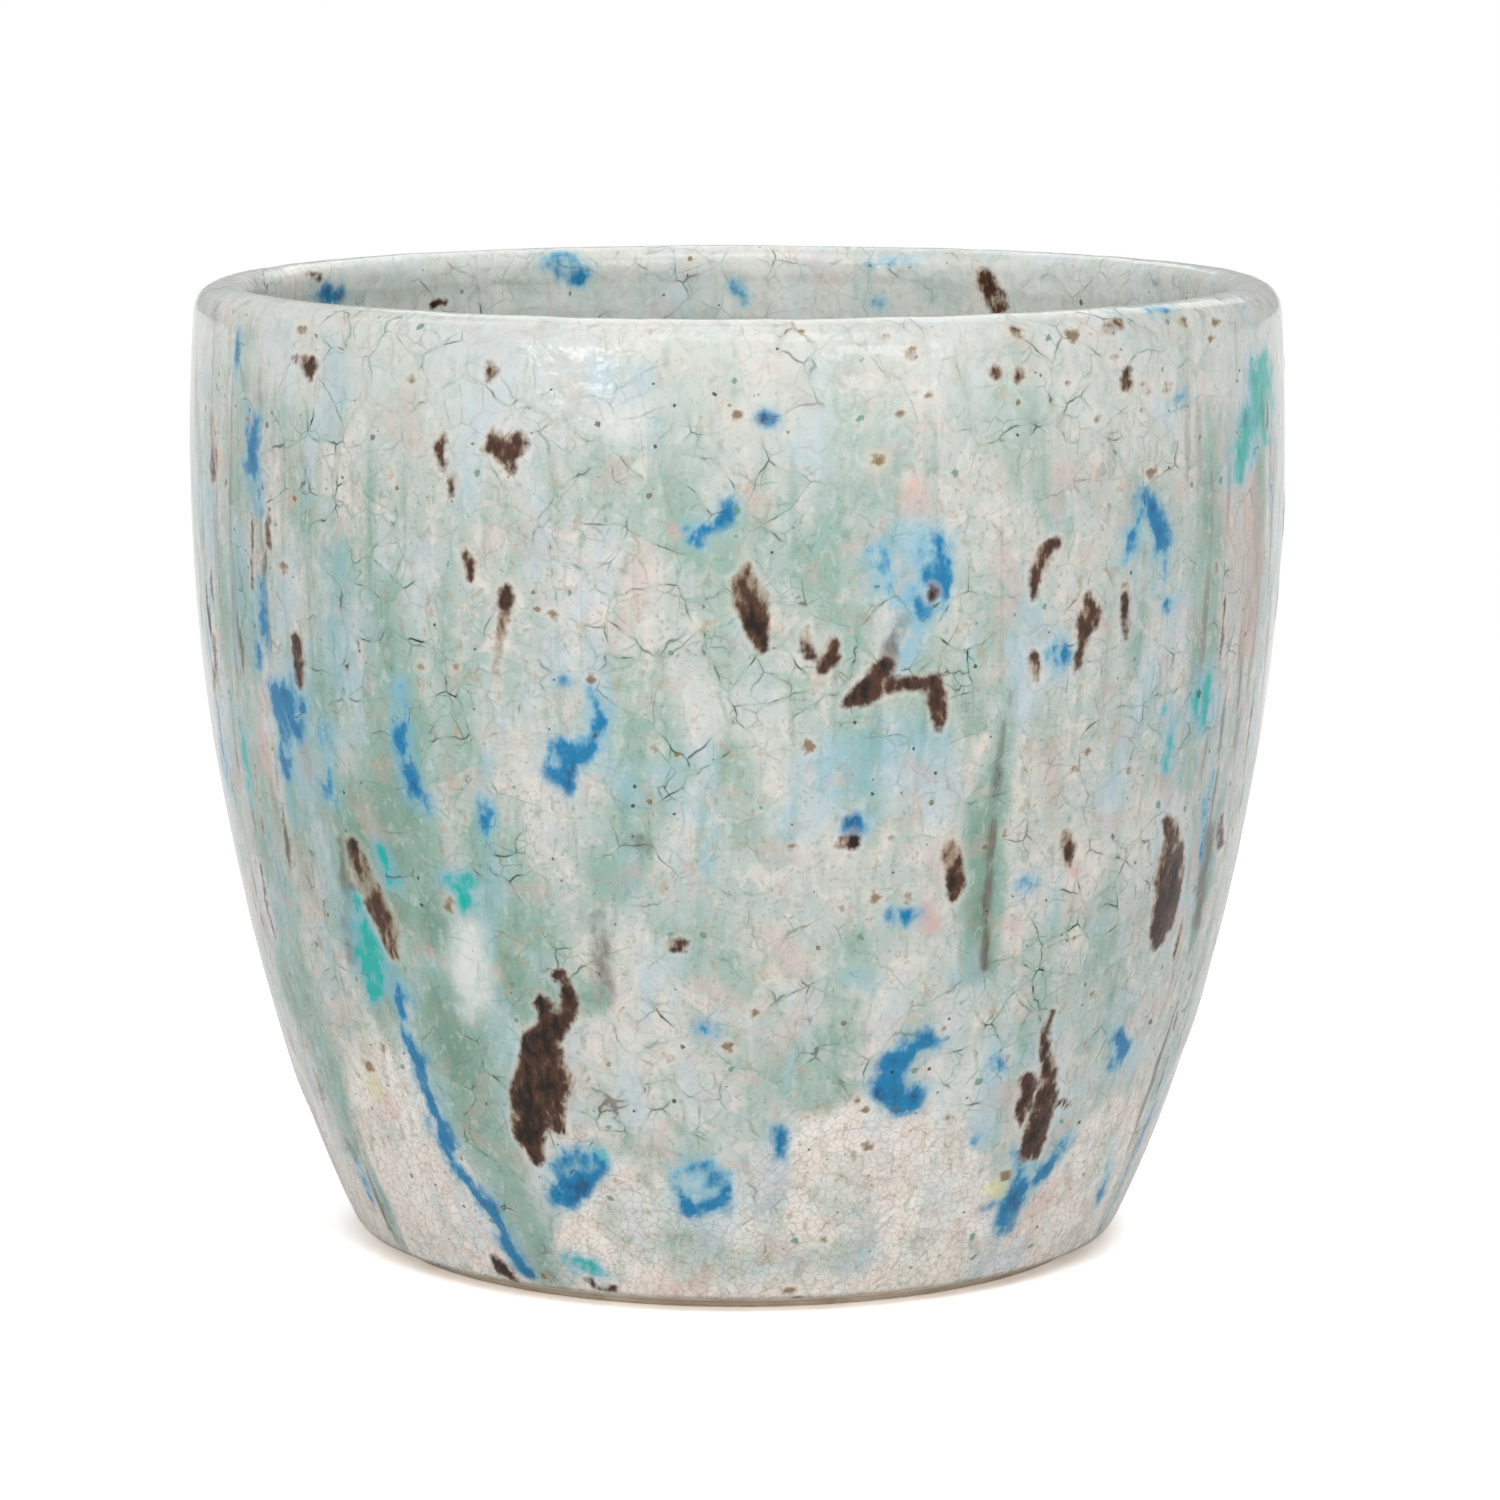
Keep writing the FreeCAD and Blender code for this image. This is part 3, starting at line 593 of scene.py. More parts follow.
# Smooth steps of the materials: from which value to which, and what they give at both ends.
# Those of the flanks and of the milky rim with its painted light start from places in millimetres.
LEVELS = {
    "flank": (55.0, 92.0, 0.05, 1.0),
    "clouds": (0.35, 0.65, 0.0, 1.0),
    "beige": (0.75, 1.35, 0.0, 0.9),
    "beige pink": (0.35, 0.65, 0.0, 1.0),
    "cream": (0.50, 0.68, 0.0, 0.5),
    "runs on beige": (0.0, 1.0, 1.0, 0.6),
    "green runs": (0.42, 0.86, 0.0, 1.0),
    "deep runs": (0.80, 1.25, 0.0, 0.8),
    "blush": (0.52, 0.74, 0.0, 0.34),
    # Painted light from above: the glaze whitens towards the rim, over the white glaze there
    "milky rim and light from above": (135.0, 162.0, 0.0, 0.5),
    "curds": (0.62, 0.42, 0.55, 1.0),
    "curdled": (0.0, 1.0, 0.16, 0.45),
    "soft wash": (0.25, 0.55, 0.0, 1.0),
    "torn smoke": (0.1, 0.8, 0.2, 1.0),
    "thin edge": (-0.6, 1.4, -0.40, 0.0),
    "full tint": (-0.1, 0.75, 0.0, 1.0),
    "deep tint": (0.85, 1.5, 0.0, 1.0),
    "pale in tint": (0.02, 0.3, 0.0, 0.2),
    "halo": (-2.8, 0.2, 0.0, 0.4),
    "halo by tone": (-0.5, 0.4, 0.0, 1.0),
    "tint cover": (-1.2, 0.7, 0.0, 1.0),
    "tint by tone": (-0.4, 0.7, 0.3, 0.98),
    "dot halo": (-1.8, 0.2, 0.0, 0.3),
    "dot": (-0.4, 0.5, 0.0, 0.85),
    "ochre edge": (-0.4, 1.8, -0.5, 0.0),
    "brown": (0.0, 0.45, 0.0, 1.0),
    "black": (0.40, 1.1, 0.0, 1.0),
    "brown cover": (-0.7, 0.4, 0.0, 1.0),
    "brown by tone": (-0.4, 0.5, 0.4, 1.0),
    "brown halo": (-1.6, 0.0, 0.0, 0.3),
    "crackled places": (0.40, 0.65, 0.2, 0.6),
    "crackle on beige": (0.0, 1.0, 1.0, 0.5),
    "closed coarse": (0.008, 0.045, 0.55, 0.0),
    "closed second": (0.01, 0.07, 0.35, 0.0),
    "closed fine": (0.03, 0.09, 0.22, 0.0),
    "closed where broken": (0.35, 0.55, 0.3, 1.0),
    "open width": (0.50, 0.74, 0.003, 0.011),
    "open second": (0.006, 0.015, 0.5, 0.0),
    "open where broken": (0.48, 0.62, 0.0, 1.0),
    "black cracks": (0.50, 0.58, 0.0, 1.0),
    "speck": (-0.01, 0.03, 0.0, 0.8),
    "clay": (0.3, 0.7, 0.0, 1.0),
}

# How strongly washes and the crackle's tiles pull on the ground, and washes cover it
GREEN_WASH_PULL = 0.55
TILE_PULL = 0.16
PINK_WASH_PULL = 0.75
MILK_AND_HIGHLIGHT_PULL = 0.8
CRACK_WASH_PULL = 0.85
WASH_STRENGTH = 0.8
SMOKE_STRENGTH = 1.1

# How noise tears the marks. Splashes: their edge by the torn and the soft noise, their tone by
# the soft noise and the grain
TEARING = {
    "brown": (1.5, 1.0, 2.0, 1.5),
    "blue": (1.5, 2.8, 2.4, 0.4),
    "teal": (1.5, 2.8, 2.4, 0.4),
}
DOT_TEARING = 2.0
SMOKE_TEARING = 2.6
SPECK_TEARING = 0.35

# The crackle: sizes of its cells, how far its lines wander, and how its open cracks look
COARSE_CRACKLE = 9.0
SECOND_CRACKLE = 4.6
SECOND_OFFSET = 7.0
FINE_CRACKLE = 1.7
WANDER = 5.0
FINE_WANDER = 1.5
OPEN_SOFTNESS = 2.0
OPEN_STRENGTH = 1.1

# Specks: size of their cells, offset, how rare they are, how wide in cells, and their colour
SPECKS = [
    (3.2, 2.0, 0.50, 0.095, BLACK_BROWN),
    (4.5, 5.0, 0.55, 0.11, OCHRE),
    (7.0, 9.0, 0.65, 0.10, BROWN_GLAZE),
    (5.0, 14.0, 0.50, 0.13, DEEP_GREEN),
]

# Relief in the shader, in millimetres, and how rough and mirroring the surfaces are
SKIN_BUMP = 0.05
CRACK_DEPTH = 0.03
BROWN_BUMP = 0.15
GRIT_BUMP = 0.15
GLAZE_ROUGHNESS = 0.11
BROWN_ROUGHER = 0.15
CLAY_ROUGHNESS = 0.85
GLOSS = 0.3

# Sockets of the Mix node for two colours and their mixture
FIRST_COLOUR = 6
SECOND_COLOUR = 7
MIXED_COLOUR = 2

# The screen's colour curve
COLOUR_STEPS = 255
CURVE_START = 0.04045
CURVE_SLOPE = 12.92
CURVE_SHIFT = 0.055
CURVE_POWER = 2.4

# Lights: place, point looked at, width in millimetres and power in watts. The white room lights
# the pot less strongly than it looks, and the table is whiter to the eye than it lights.
ROOM_LIGHT = 0.45
FLOOR_SIZE = 60000.0
FLOOR_FADE_START = 200.0
FLOOR_FADE_END = 700.0
FLOOR_BOUNCE = 1.0
FLOOR_WHITE = 2.1
LAMPS = {
    "key": ((-750.0, -1150.0, 600.0), (0.0, 0.0, 60.0), 600.0, 2.1),
    "fill": ((620.0, -1250.0, 430.0), (0.0, 0.0, 50.0), 500.0, 3.7),
    "top": ((60.0, -620.0, 1150.0), (0.0, 0.0, 90.0), 700.0, 4.3),
    "glint": ((-620.0, -980.0, 330.0), (0.0, 0.0, 90.0), 240.0, 1.4),
    "back": ((150.0, 850.0, 950.0), (0.0, -40.0, 120.0), 900.0, 3.2),
    "mouth": ((-50.0, -40.0, 300.0), (20.0, 85.0, 235.0), 160.0, 0.12),
}


def along(start, distance, angle):
    """The point at a distance from start, in the section's plane, at an angle above level."""
    return (start[0] + distance * math.cos(angle), start[1] + distance * math.sin(angle))


def outline_arcs():
    """The finished outline from the foot, over the lip, to the inside floor."""
    down, up = -math.pi / 2, math.pi / 2
    upper = (WIDEST_RADIUS - UPPER_WALL_ARC_RADIUS, WIDEST_HEIGHT)
    join = math.asin((WALL_JOIN_HEIGHT - WIDEST_HEIGHT) / UPPER_WALL_ARC_RADIUS)
    lower = along(upper, UPPER_WALL_ARC_RADIUS - LOWER_WALL_ARC_RADIUS, join)
    base_reach = LOWER_WALL_ARC_RADIUS - BASE_CORNER_RADIUS
    base = math.asin((BASE_CORNER_RADIUS - lower[1]) / base_reach)
    outer_reach = UPPER_WALL_ARC_RADIUS - LIP_OUTER_RADIUS
    outer = math.asin((HEIGHT - LIP_OUTER_RADIUS - WIDEST_HEIGHT) / outer_reach)
    inner_reach = UPPER_WALL_ARC_RADIUS - WALL_THICKNESS + LIP_INNER_RADIUS
    inner = math.asin((HEIGHT - LIP_INNER_RADIUS - WIDEST_HEIGHT) / inner_reach)
    floor_reach = LOWER_WALL_ARC_RADIUS - WALL_THICKNESS - FLOOR_CORNER_RADIUS
    floor = math.asin((FLOOR_HEIGHT + FLOOR_CORNER_RADIUS - lower[1]) / floor_reach)
    outside = [
        (along(lower, base_reach, base), BASE_CORNER_RADIUS, down, base),
        (lower, LOWER_WALL_ARC_RADIUS, base, join),
        (upper, UPPER_WALL_ARC_RADIUS, join, outer),
        (along(upper, outer_reach, outer), LIP_OUTER_RADIUS, outer, up),
    ]
    inside = [
        (along(upper, inner_reach, inner), LIP_INNER_RADIUS, up, math.pi + inner),
        (upper, WALL_THICKNESS - UPPER_WALL_ARC_RADIUS, inner, join),
        (lower, WALL_THICKNESS - LOWER_WALL_ARC_RADIUS, join, floor),
        (along(lower, floor_reach, floor), -FLOOR_CORNER_RADIUS, floor, down),
    ]
    return outside + inside


class Outline:
    """The finished outline by the distance walked along it from the foot, in millimetres."""

    STEP = 0.1

    def __init__(self):
        radius, height, out, up = [], [], [], []
        for centre, size, start, end in outline_arcs():
            count = max(2, math.ceil(abs(size * (end - start)) / self.STEP))
            turns = np.linspace(start, end, count)
            radius.append(centre[0] + abs(size) * np.cos(turns))
            height.append(centre[1] + abs(size) * np.sin(turns))
            out.append(np.sign(size) * np.cos(turns))
            up.append(np.sign(size) * np.sin(turns))
        radius.append(np.array([0.0]))
        height.append(np.array([FLOOR_HEIGHT]))
        out.append(np.array([0.0]))
        up.append(np.array([1.0]))
        self.radius, self.height = np.concatenate(radius), np.concatenate(height)
        self.out, self.up = np.concatenate(out), np.concatenate(up)
        steps = np.hypot(np.diff(self.radius), np.diff(self.height))
        self.walk = np.concatenate([[0.0], np.cumsum(steps)])
        self.crown = int(np.argmax(self.height))

    def at(self, walk):
        """Radius, height and the outward direction at distances along the outline."""
        return [
            np.interp(walk, self.walk, values)
            for values in (self.radius, self.height, self.out, self.up)
        ]

    def outside(self, height):
        """How far along the outline a height outside lies."""
        top = self.crown + 1
        return np.interp(height, self.height[:top], self.walk[:top])

    def inside(self, height):
        """How far along the outline a height inside lies."""
        rest = slice(self.crown, None)
        return np.interp(height, self.height[rest][::-1], self.walk[rest][::-1])


OUTLINE = Outline()


def drip_edge(turns):
    """Height of the poured coat's lower edge at turns round the pot, by a periodic spline."""
    stations = np.radians([degrees for degrees, _ in POURED_EDGE_SHARES])
    band = POURED_EDGE_HIGHEST - POURED_EDGE_LOWEST
    heights = POURED_EDGE_LOWEST + band * np.array([share for _, share in POURED_EDGE_SHARES])
    gaps = np.diff(np.append(stations, stations[0] + 2 * math.pi))
    count = len(stations)
    system, target = np.zeros((count, count)), np.zeros(count)
    for here in range(count):
        before, after = here - 1, (here + 1) % count
        system[here, before] = gaps[before]
        system[here, here] = 2 * (gaps[before] + gaps[here])
        system[here, after] = gaps[here]
        rise = (heights[after] - heights[here]) / gaps[here]
        fall = (heights[here] - heights[before]) / gaps[before]
        target[here] = 6 * (rise - fall)
    bend = np.linalg.solve(system, target)
    turns = (np.asarray(turns) - stations[0]) % (2 * math.pi) + stations[0]
    here = np.searchsorted(stations, turns, side="right") - 1
    after = (here + 1) % count
    gap = gaps[here]
    share = (turns - stations[here]) / gap
    left, right = 1 - share, share
    curve = (left**3 - left) * bend[here] + (right**3 - right) * bend[after]
    return left * heights[here] + right * heights[after] + curve * gap**2 / 6


def smooth(values, low, high):
    """0 below low, 1 above high and a smooth step between."""
    share = np.clip((values - low) / (high - low), 0, 1)
    return share * share * (3 - 2 * share)


def rough(points, size, offset=0.0):
    """Noise from -1 to 1 at points in millimetres, with bumps of about a size."""
    scaled = np.asarray(points) / size + offset
    values = [noise.noise(place) for place in scaled.reshape(-1, 3).tolist()]
    return np.array(values).reshape(scaled.shape[:-1])


def place(turn, radius, height):
    """Points in space from turns round the pot, radii and heights."""
    spread = np.broadcast_arrays(radius * np.sin(turn), -radius * np.cos(turn), height)
    return np.stack(spread, axis=-1)


def camera_axes():
    """Where the camera's right, up and forward point."""
    pitch, roll = math.radians(CAMERA_PITCH), math.radians(CAMERA_ROLL)
    level_up = np.array([0, math.sin(pitch), math.cos(pitch)])
    right = np.array([math.cos(roll), 0, 0]) + math.sin(roll) * level_up
    up = np.array([-math.sin(roll), 0, 0]) + math.cos(roll) * level_up
    forward = np.array([0, math.cos(pitch), -math.sin(pitch)])
    return right, up, forward


def seen_place(x, y, far):
    """Where the photograph's pixel meets the pot, on its near outside or its far inside, as a
    spot with the size of a pixel for its radius."""
    right, up, forward = camera_axes()
    middle = PHOTO_SIZE / 2
    ray = (x - middle) / FOCAL_PIXELS * right + (middle - y) / FOCAL_PIXELS * up + forward
    ray /= np.linalg.norm(ray)
    axis_distance = -CAMERA_PLACE[1]
    reach = WIDEST_RADIUS + BASE_CORNER_RADIUS
    start = axis_distance if far else axis_distance - reach
    steps = np.arange(start, start + reach, OUTLINE.STEP)
    path = np.array(CAMERA_PLACE) + steps[:, None] * ray
    crown = OUTLINE.crown
    if far:
        heights, radii = OUTLINE.height[crown:][::-1], OUTLINE.radius[crown:][::-1]
    else:
        heights, radii = OUTLINE.height[:crown + 1], OUTLINE.radius[:crown + 1]
    gap = np.hypot(path[:, 0], path[:, 1]) - np.interp(path[:, 2], heights, radii)
    gap = -gap if far else gap + np.maximum(0, path[:, 2] - HEIGHT)
    met = int(np.argmax(gap <= 0)) if (gap <= 0).any() else int(np.argmin(gap))
    point = path[met]
    turn = math.atan2(point[0], -point[1])
    walk = OUTLINE.inside(point[2]) if far else OUTLINE.outside(point[2])
    narrowing = max(NARROWEST, abs(math.cos(turn)))
    return Spot(turn, float(walk), steps[met] / FOCAL_PIXELS, narrowing)


def photo_chains(marks, far=False):
    """Marks of the photograph as chains on the pot, each with its tones and its spots."""
    chains = []
    for first, last, points in marks:
        spots = []
        for x, y, radius in points:
            spot = seen_place(x, y, far)
            spots.append(spot._replace(radius=radius * spot.radius))
        chains.append(((first, last), spots))
    return chains


def wrapped(turn):
    """A turn brought between half a turn either way."""
    return (turn + math.pi) % (2 * math.pi) - math.pi


def stamp(coat, chains):
    """How many millimetres inside the nearest splash each vertex lies, and that splash's tone."""
    inside = np.full(coat.walk.shape, -SPLASH_REACH)
    weight = np.full(coat.walk.shape, LEAST_WEIGHT)
    tone = np.zeros(coat.walk.shape)
    for (first, last), spots in chains:
        count = max(1, len(spots) - 1)
        for index, here in enumerate(spots[:count]):
            after = spots[min(index + 1, len(spots) - 1)]
            tones = (first + (last - first) * index / count,
                     first + (last - first) * (index + 1) / count)
            stamp_segment(coat, (inside, weight, tone), here, after, tones)
    return inside, tone / weight


def stamp_segment(coat, arrays, here, after, tones):
    """One link of a splash's chain, drawn into the arrays of the vertices near it."""
    pad = SPLASH_REACH + max(here.radius, after.radius)
    low, high = min(here.walk, after.walk) - pad, max(here.walk, after.walk) + pad
    rows = np.flatnonzero((coat.walk.max(axis=1) > low) & (coat.walk.min(axis=1) < high))
    if not len(rows):
        return
    rows = slice(rows[0], rows[-1] + 1)
    size = OUTLINE.at((here.walk + after.walk) / 2)[0] * here.narrowing
    step = wrapped(after.turn - here.turn) * size
    across = wrapped(coat.turns - here.turn) * size
    columns = np.flatnonzero((across > min(0, step) - pad) & (across < max(0, step) + pad))
    if not len(columns):
        return
    block = np.ix_(range(rows.start, rows.stop), columns)
    x = across[None, columns] + coat.warp_across[block]
    y = coat.walk[block] - here.walk + coat.warp_up[block]
    rise = after.walk - here.walk
    length = step**2 + rise**2
    share = np.clip((x * step + y * rise) / length, 0, 1) if length > 0 else np.zeros_like(x)
    distance = np.hypot(x - share * step, y - share * rise)
    depth = here.radius + (after.radius - here.radius) * share - distance
    inside, weight, tone = arrays
    inside[block] = np.maximum(inside[block], depth)
    pull = np.exp(np.maximum(depth, -SPLASH_REACH) / TONE_BLEND)
    weight[block] += pull
    tone[block] += pull * (tones[0] + (tones[1] - tones[0]) * share)


def density(coat, chains):
    """Washes: how strong each is, fading from its middle to beyond its radius."""
    total = np.zeros(coat.walk.shape)
    for tones, spots in chains:
        inside, tone = stamp(coat, [(tones, spots)])
        width = max(spot.radius for spot in spots)
        fade = smooth(inside, -min(SPLASH_REACH, WASH_FADE * width), WASH_FADE * width)
        total = np.maximum(total, tone * fade)
    return total


def scattered(chance, shape, turns, walks):
    """Splashes at random places of a region, for the sides that the photograph doesn't show."""
    count, tones, lengths, widths, slant, late = shape
    chains = []
    for _ in range(count):
        turn = math.radians(chance.uniform(*turns))
        walk = chance.uniform(*walks)
        tone = chance.uniform(*tones)
        length = chance.uniform(*lengths)
        width = chance.uniform(*widths)
        lean = chance.uniform(-slant, slant)
        curl = chance.uniform(-slant, slant)
        radius = max(OUTLINE.at(walk)[0], LEAST_TURNING_RADIUS)
        spots = []
        for step in range(SCATTER_STEPS + 1):
            share = step / SCATTER_STEPS
            swell = math.sin(math.pi * (SWELL_START + SWELL_SPAN * share**late)) * width
            aside = (lean * share + curl * math.sin(math.pi * share)) * length
            spots.append(Spot(turn + aside / radius, walk - share * length, swell, 1.0))
        drift = chance.uniform(-TONE_DRIFT, TONE_DRIFT)
        chains.append(((tone, min(1.0, max(0.0, tone + drift))), spots))
    return chains


class Coat:
    """The outer face of a coat as a grid of turns round the pot and walks along its outline."""

    def __init__(self, turns, walk, depth):
        self.turns = turns
        self.walk = walk
        self.depth = np.broadcast_to(depth, walk.shape).copy()
        radius, height, _, _ = OUTLINE.at(walk)
        self.points = place(turns[None, :], radius, height)
        self.warp_across = self.raggedness(0.0)
        self.warp_up = self.raggedness(RAGGED_OFFSET)

    def raggedness(self, offset):
        """How far splashes are pulled aside here, so that none has a drawn outline."""
        return sum(
            amount * rough(self.points, size, offset)
            for size, amount in ((RAGGED_SIZE, RAGGED_AMOUNT), (TORN_SIZE, TORN_AMOUNT))
        )

    def surface(self):
        """The face's points in space, sunk to its depth and let down where the lip dips."""
        radius, height, out, up = OUTLINE.at(self.walk)
        radius = radius - self.depth * out
        height = height - self.depth * up
        height = height - lip_dip(self.turns)[None, :] * smooth(height, LIP_DIP_START, HEIGHT)
        return place(self.turns[None, :], radius, height)


def lip_dip(turns):
    """How far the lip lies under its highest place, at turns round the pot."""
    swing = (1 - np.cos(turns - math.radians(LIP_HIGH_SIDE))) / 2
    ring = place(turns, WIDEST_RADIUS, 0.0)
    return LIP_DIP * swing + LIP_WOBBLE * (1 + rough(ring, LIP_WOBBLE_SIZE)) / 2


def column_turns(count, crowding):
    """Turns of the grid's columns, closer together on the photographed side."""
    turns = np.linspace(-math.pi, math.pi, COLUMN_SAMPLES)
    fade = smooth(abs(turns), math.radians(FRONT_EDGE), math.radians(FRONT_EDGE + FRONT_FADE))
    crowded = crowding - (crowding - 1) * fade
    total = np.concatenate([[0.0], np.cumsum((crowded[1:] + crowded[:-1]) / 2)])
    return np.interp(np.arange(count) / count * total[-1], total, turns)


def relief(coat, brown, blue):
    """The coat's bumps and raised splashes, in millimetres outwards."""
    streaked = coat.points * np.array([1, 1, STREAK_STRETCH])
    height = sum(amount * rough(coat.points, size) for size, amount in BUMPS)
    height += STREAK_AMOUNT * rough(streaked, STREAK_SIZE)
    height += BROWN_RISE * smooth(brown, RISE_START, BROWN_RISE_END)
    height += BLUE_RISE * smooth(blue, RISE_START, BLUE_RISE_END)
    return height


def closed_coat(name, nodes, coat, under_walk, under_depth, fields):
    """A closed shell: the coat's face, and a plainer face under it with the same columns."""
    radius, height, out, up = OUTLINE.at(under_walk)
    under = place(coat.turns[None, :], radius - under_depth * out, height - under_depth * up)
    points = np.concatenate([coat.surface(), under])
    rows, columns = points.shape[:2]
    on_axis = np.hypot(points[:, 0, 0], points[:, 0, 1]) < OUTLINE.STEP
    kept = np.ones((rows, columns), bool)
    kept[on_axis, 1:] = False
    index = np.cumsum(kept.ravel()).reshape(rows, columns) - 1
    index[on_axis] = index[on_axis][:, :1]
    faces = []
    for low in range(rows):
        high = (low + 1) % rows
        if on_axis[low] and on_axis[high]:
            continue
        corners = [index[low], np.roll(index[low], -1), np.roll(index[high], -1), index[high]]
        if on_axis[low]:
            corners.pop(1)
        elif on_axis[high]:
            corners.pop()
        faces += np.stack(corners, axis=-1).tolist()
    mesh = bpy.data.meshes.new(name)
    mesh.from_pydata((points[kept] / METRE).tolist(), [], faces)
    # The face under the coat carries on the marks of the edge that it is nearest to
    for field, values in fields.items():
        hidden = rows - len(values)
        ends = [values[-1:]] * (hidden // 2) + [values[:1]] * (hidden - hidden // 2)
        whole = np.concatenate([values, *ends])
        attribute = mesh.attributes.new(field, "FLOAT", "POINT")
        attribute.data.foreach_set("value", whole[kept].astype(np.float32))
    mesh.polygons.foreach_set("use_smooth", [True] * len(mesh.polygons))
    mesh.update()
    piece = bpy.data.objects.new(name, mesh)
    bpy.context.scene.collection.objects.link(piece)
    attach(piece, "root")
    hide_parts(*nodes)
    return piece


def paint_fields(coat, splashes):
    """The splashes and washes at each vertex, by name."""
    fields = {}
    for family in ("brown", "blue", "teal", "ochre"):
        fields[family], fields[family + "_tone"] = stamp(coat, splashes[family])
    for family in ("green", "sky_and_sheen", "pink", "smoke", "milk_and_highlight", "yellow", "crack"):
        fields[family + "_wash"] = density(coat, splashes[family])
    return fields


def gathered_splashes(chance):
    """All splashes of the pot: those of the photograph, and scattered ones on its far side."""
    splashes = {"ochre": photo_chains([(OCHRE_TONE, OCHRE_TONE, [dot]) for dot in OCHRE_DOTS])}
    for family, (near, far) in MARKS.items():
        splashes[family] = photo_chains(near.values()) + photo_chains(far.values(), far=True)
    outside = (OUTLINE.outside(SCATTER_LOWEST), OUTLINE.outside(SCATTER_HIGHEST))
    inside_end = OUTLINE.walk[-1] - SCATTER_FROM_MIDDLE
    inside = (OUTLINE.inside(SCATTER_HIGHEST_INSIDE), inside_end)
    for family, shape in SCATTER_SHAPES.items():
        splashes[family] += scattered(chance, shape, HIDDEN_TURNS, outside)
        splashes[family] += scattered(chance, shape, ALL_TURNS, inside)
    for family, shape in FLANK_SHAPES.items():
        for turns in FLANK_TURNS:
            splashes[family] += scattered(chance, shape, turns, outside)
    return splashes


def poured_rows(turns):
    """Walks of the poured coat's face: from its drips up, over the lip and into the pot."""
    waves = rough(place(turns, WIDEST_RADIUS, 0.0), DRIP_WOBBLE_SIZE)
    edge = OUTLINE.outside(drip_edge(turns) + DRIP_WOBBLE * waves)
    level = OUTLINE.outside(LEVEL_HEIGHT)
    shares = np.linspace(0, 1, LOW_ROWS, endpoint=False) ** EDGE_CROWDING
    low = edge[None, :] + (level - edge[None, :]) * shares[:, None]
    fine, end = OUTLINE.inside(FINE_INSIDE), OUTLINE.inside(POURED_EDGE_INSIDE)
    stops = np.concatenate([
        np.linspace(level, fine, HIGH_ROWS, endpoint=False),
        np.linspace(fine, end - LAST_ROW, INSIDE_ROWS),
        [end],
    ])
    high = np.repeat(stops[:, None], len(turns), axis=1)
    return edge, np.concatenate([low, high])


def shallow(depth):
    """Depths kept under the outline without a sharp limit, so the coat stays in its solid."""
    over = depth - SHALLOWEST
    return SHALLOWEST + (over + np.hypot(over, SHALLOW_SOFTNESS)) / 2


def make_poured_coat(splashes):
    turns = column_turns(POURED_COLUMNS, FRONT_CROWDING)
    edge, walk = poured_rows(turns)
    coat = Coat(turns, walk, FACE_DEPTH)
    fields = paint_fields(coat, splashes)
    from_edge = walk - edge[None, :]
    from_end = walk[-1:] - walk
    step = np.minimum(smooth(from_edge, 0, EDGE_FADE), smooth(from_end, 0, EDGE_FADE))
    sunk = (DIPPED_DEPTH - EDGE_STEP - FACE_DEPTH) * (1 - step)
    bumps = relief(coat, fields["brown"], fields["blue"])
    bumps = bumps * (THIN_RELIEF + (1 - THIN_RELIEF) * step)
    coat.depth = shallow(coat.depth + sunk - bumps)
    fields["bare"] = BARE_AT_EDGE * (1 - smooth(from_edge, 0, BARE_FADE))
    inside = [OUTLINE.inside(height) for height in UNDER_INSIDE_HEIGHTS]
    lip_ends = (OUTLINE.inside(UNDER_LIP_HEIGHT), OUTLINE.outside(UNDER_LIP_HEIGHT))
    lip = np.linspace(*lip_ends, UNDER_LIP_ROWS)
    outside = [OUTLINE.outside(height) for height in UNDER_OUTSIDE_HEIGHTS]
    under = np.repeat(np.concatenate([inside, lip, outside])[:, None], len(turns), axis=1)
    under = np.concatenate([under, edge[None, :]])
    depth = np.full(under.shape, CLAY_DEPTH)
    depth[under < OUTLINE.outside(BASE_GLAZE_TOP) + LAP_MARGIN] = DIPPED_DEPTH
    depth[under > OUTLINE.inside(LINER_GLAZE_TOP) - LAP_MARGIN] = DIPPED_DEPTH
    return closed_coat("poured_coat", ["run_glaze"], coat, under, depth, fields)


def make_thin_coat(name, slot, nodes, turns, rows, under_step, bare, splashes):
    """A coat of one thickness, without relief at the very middle of the floor."""
    walk = np.repeat(rows[:, None], len(turns), axis=1)
    coat = Coat(turns, walk, DIPPED_DEPTH)
    fields = paint_fields(coat, splashes)
    bumps = relief(coat, fields["brown"], fields["blue"])
    still = OUTLINE.walk[-1] - LINER_STILL
    flat = 1 - smooth(walk, still, still + LINER_STILL / 2)
    coat.depth = coat.depth - THIN_RELIEF * bumps * flat
    fields["bare"] = np.full(walk.shape, bare)
    under = np.repeat(rows[::-under_step][:, None], len(turns), axis=1)
    under = np.concatenate([under, walk[:1]])
    return closed_coat(name, nodes, coat, under, CLAY_DEPTH, fields)


def make_base_coat(splashes):
    turns = column_turns(BASE_COLUMNS, FRONT_CROWDING)
    ends = (OUTLINE.outside(GLAZE_LINE_HEIGHT), OUTLINE.outside(BASE_GLAZE_TOP))
    rows = np.linspace(*ends, BASE_ROWS)
    names = ("base_coat", "base_glaze", ["base_glaze"])
    return make_thin_coat(*names, turns, rows, BASE_UNDER_STEP, 1.0, splashes)


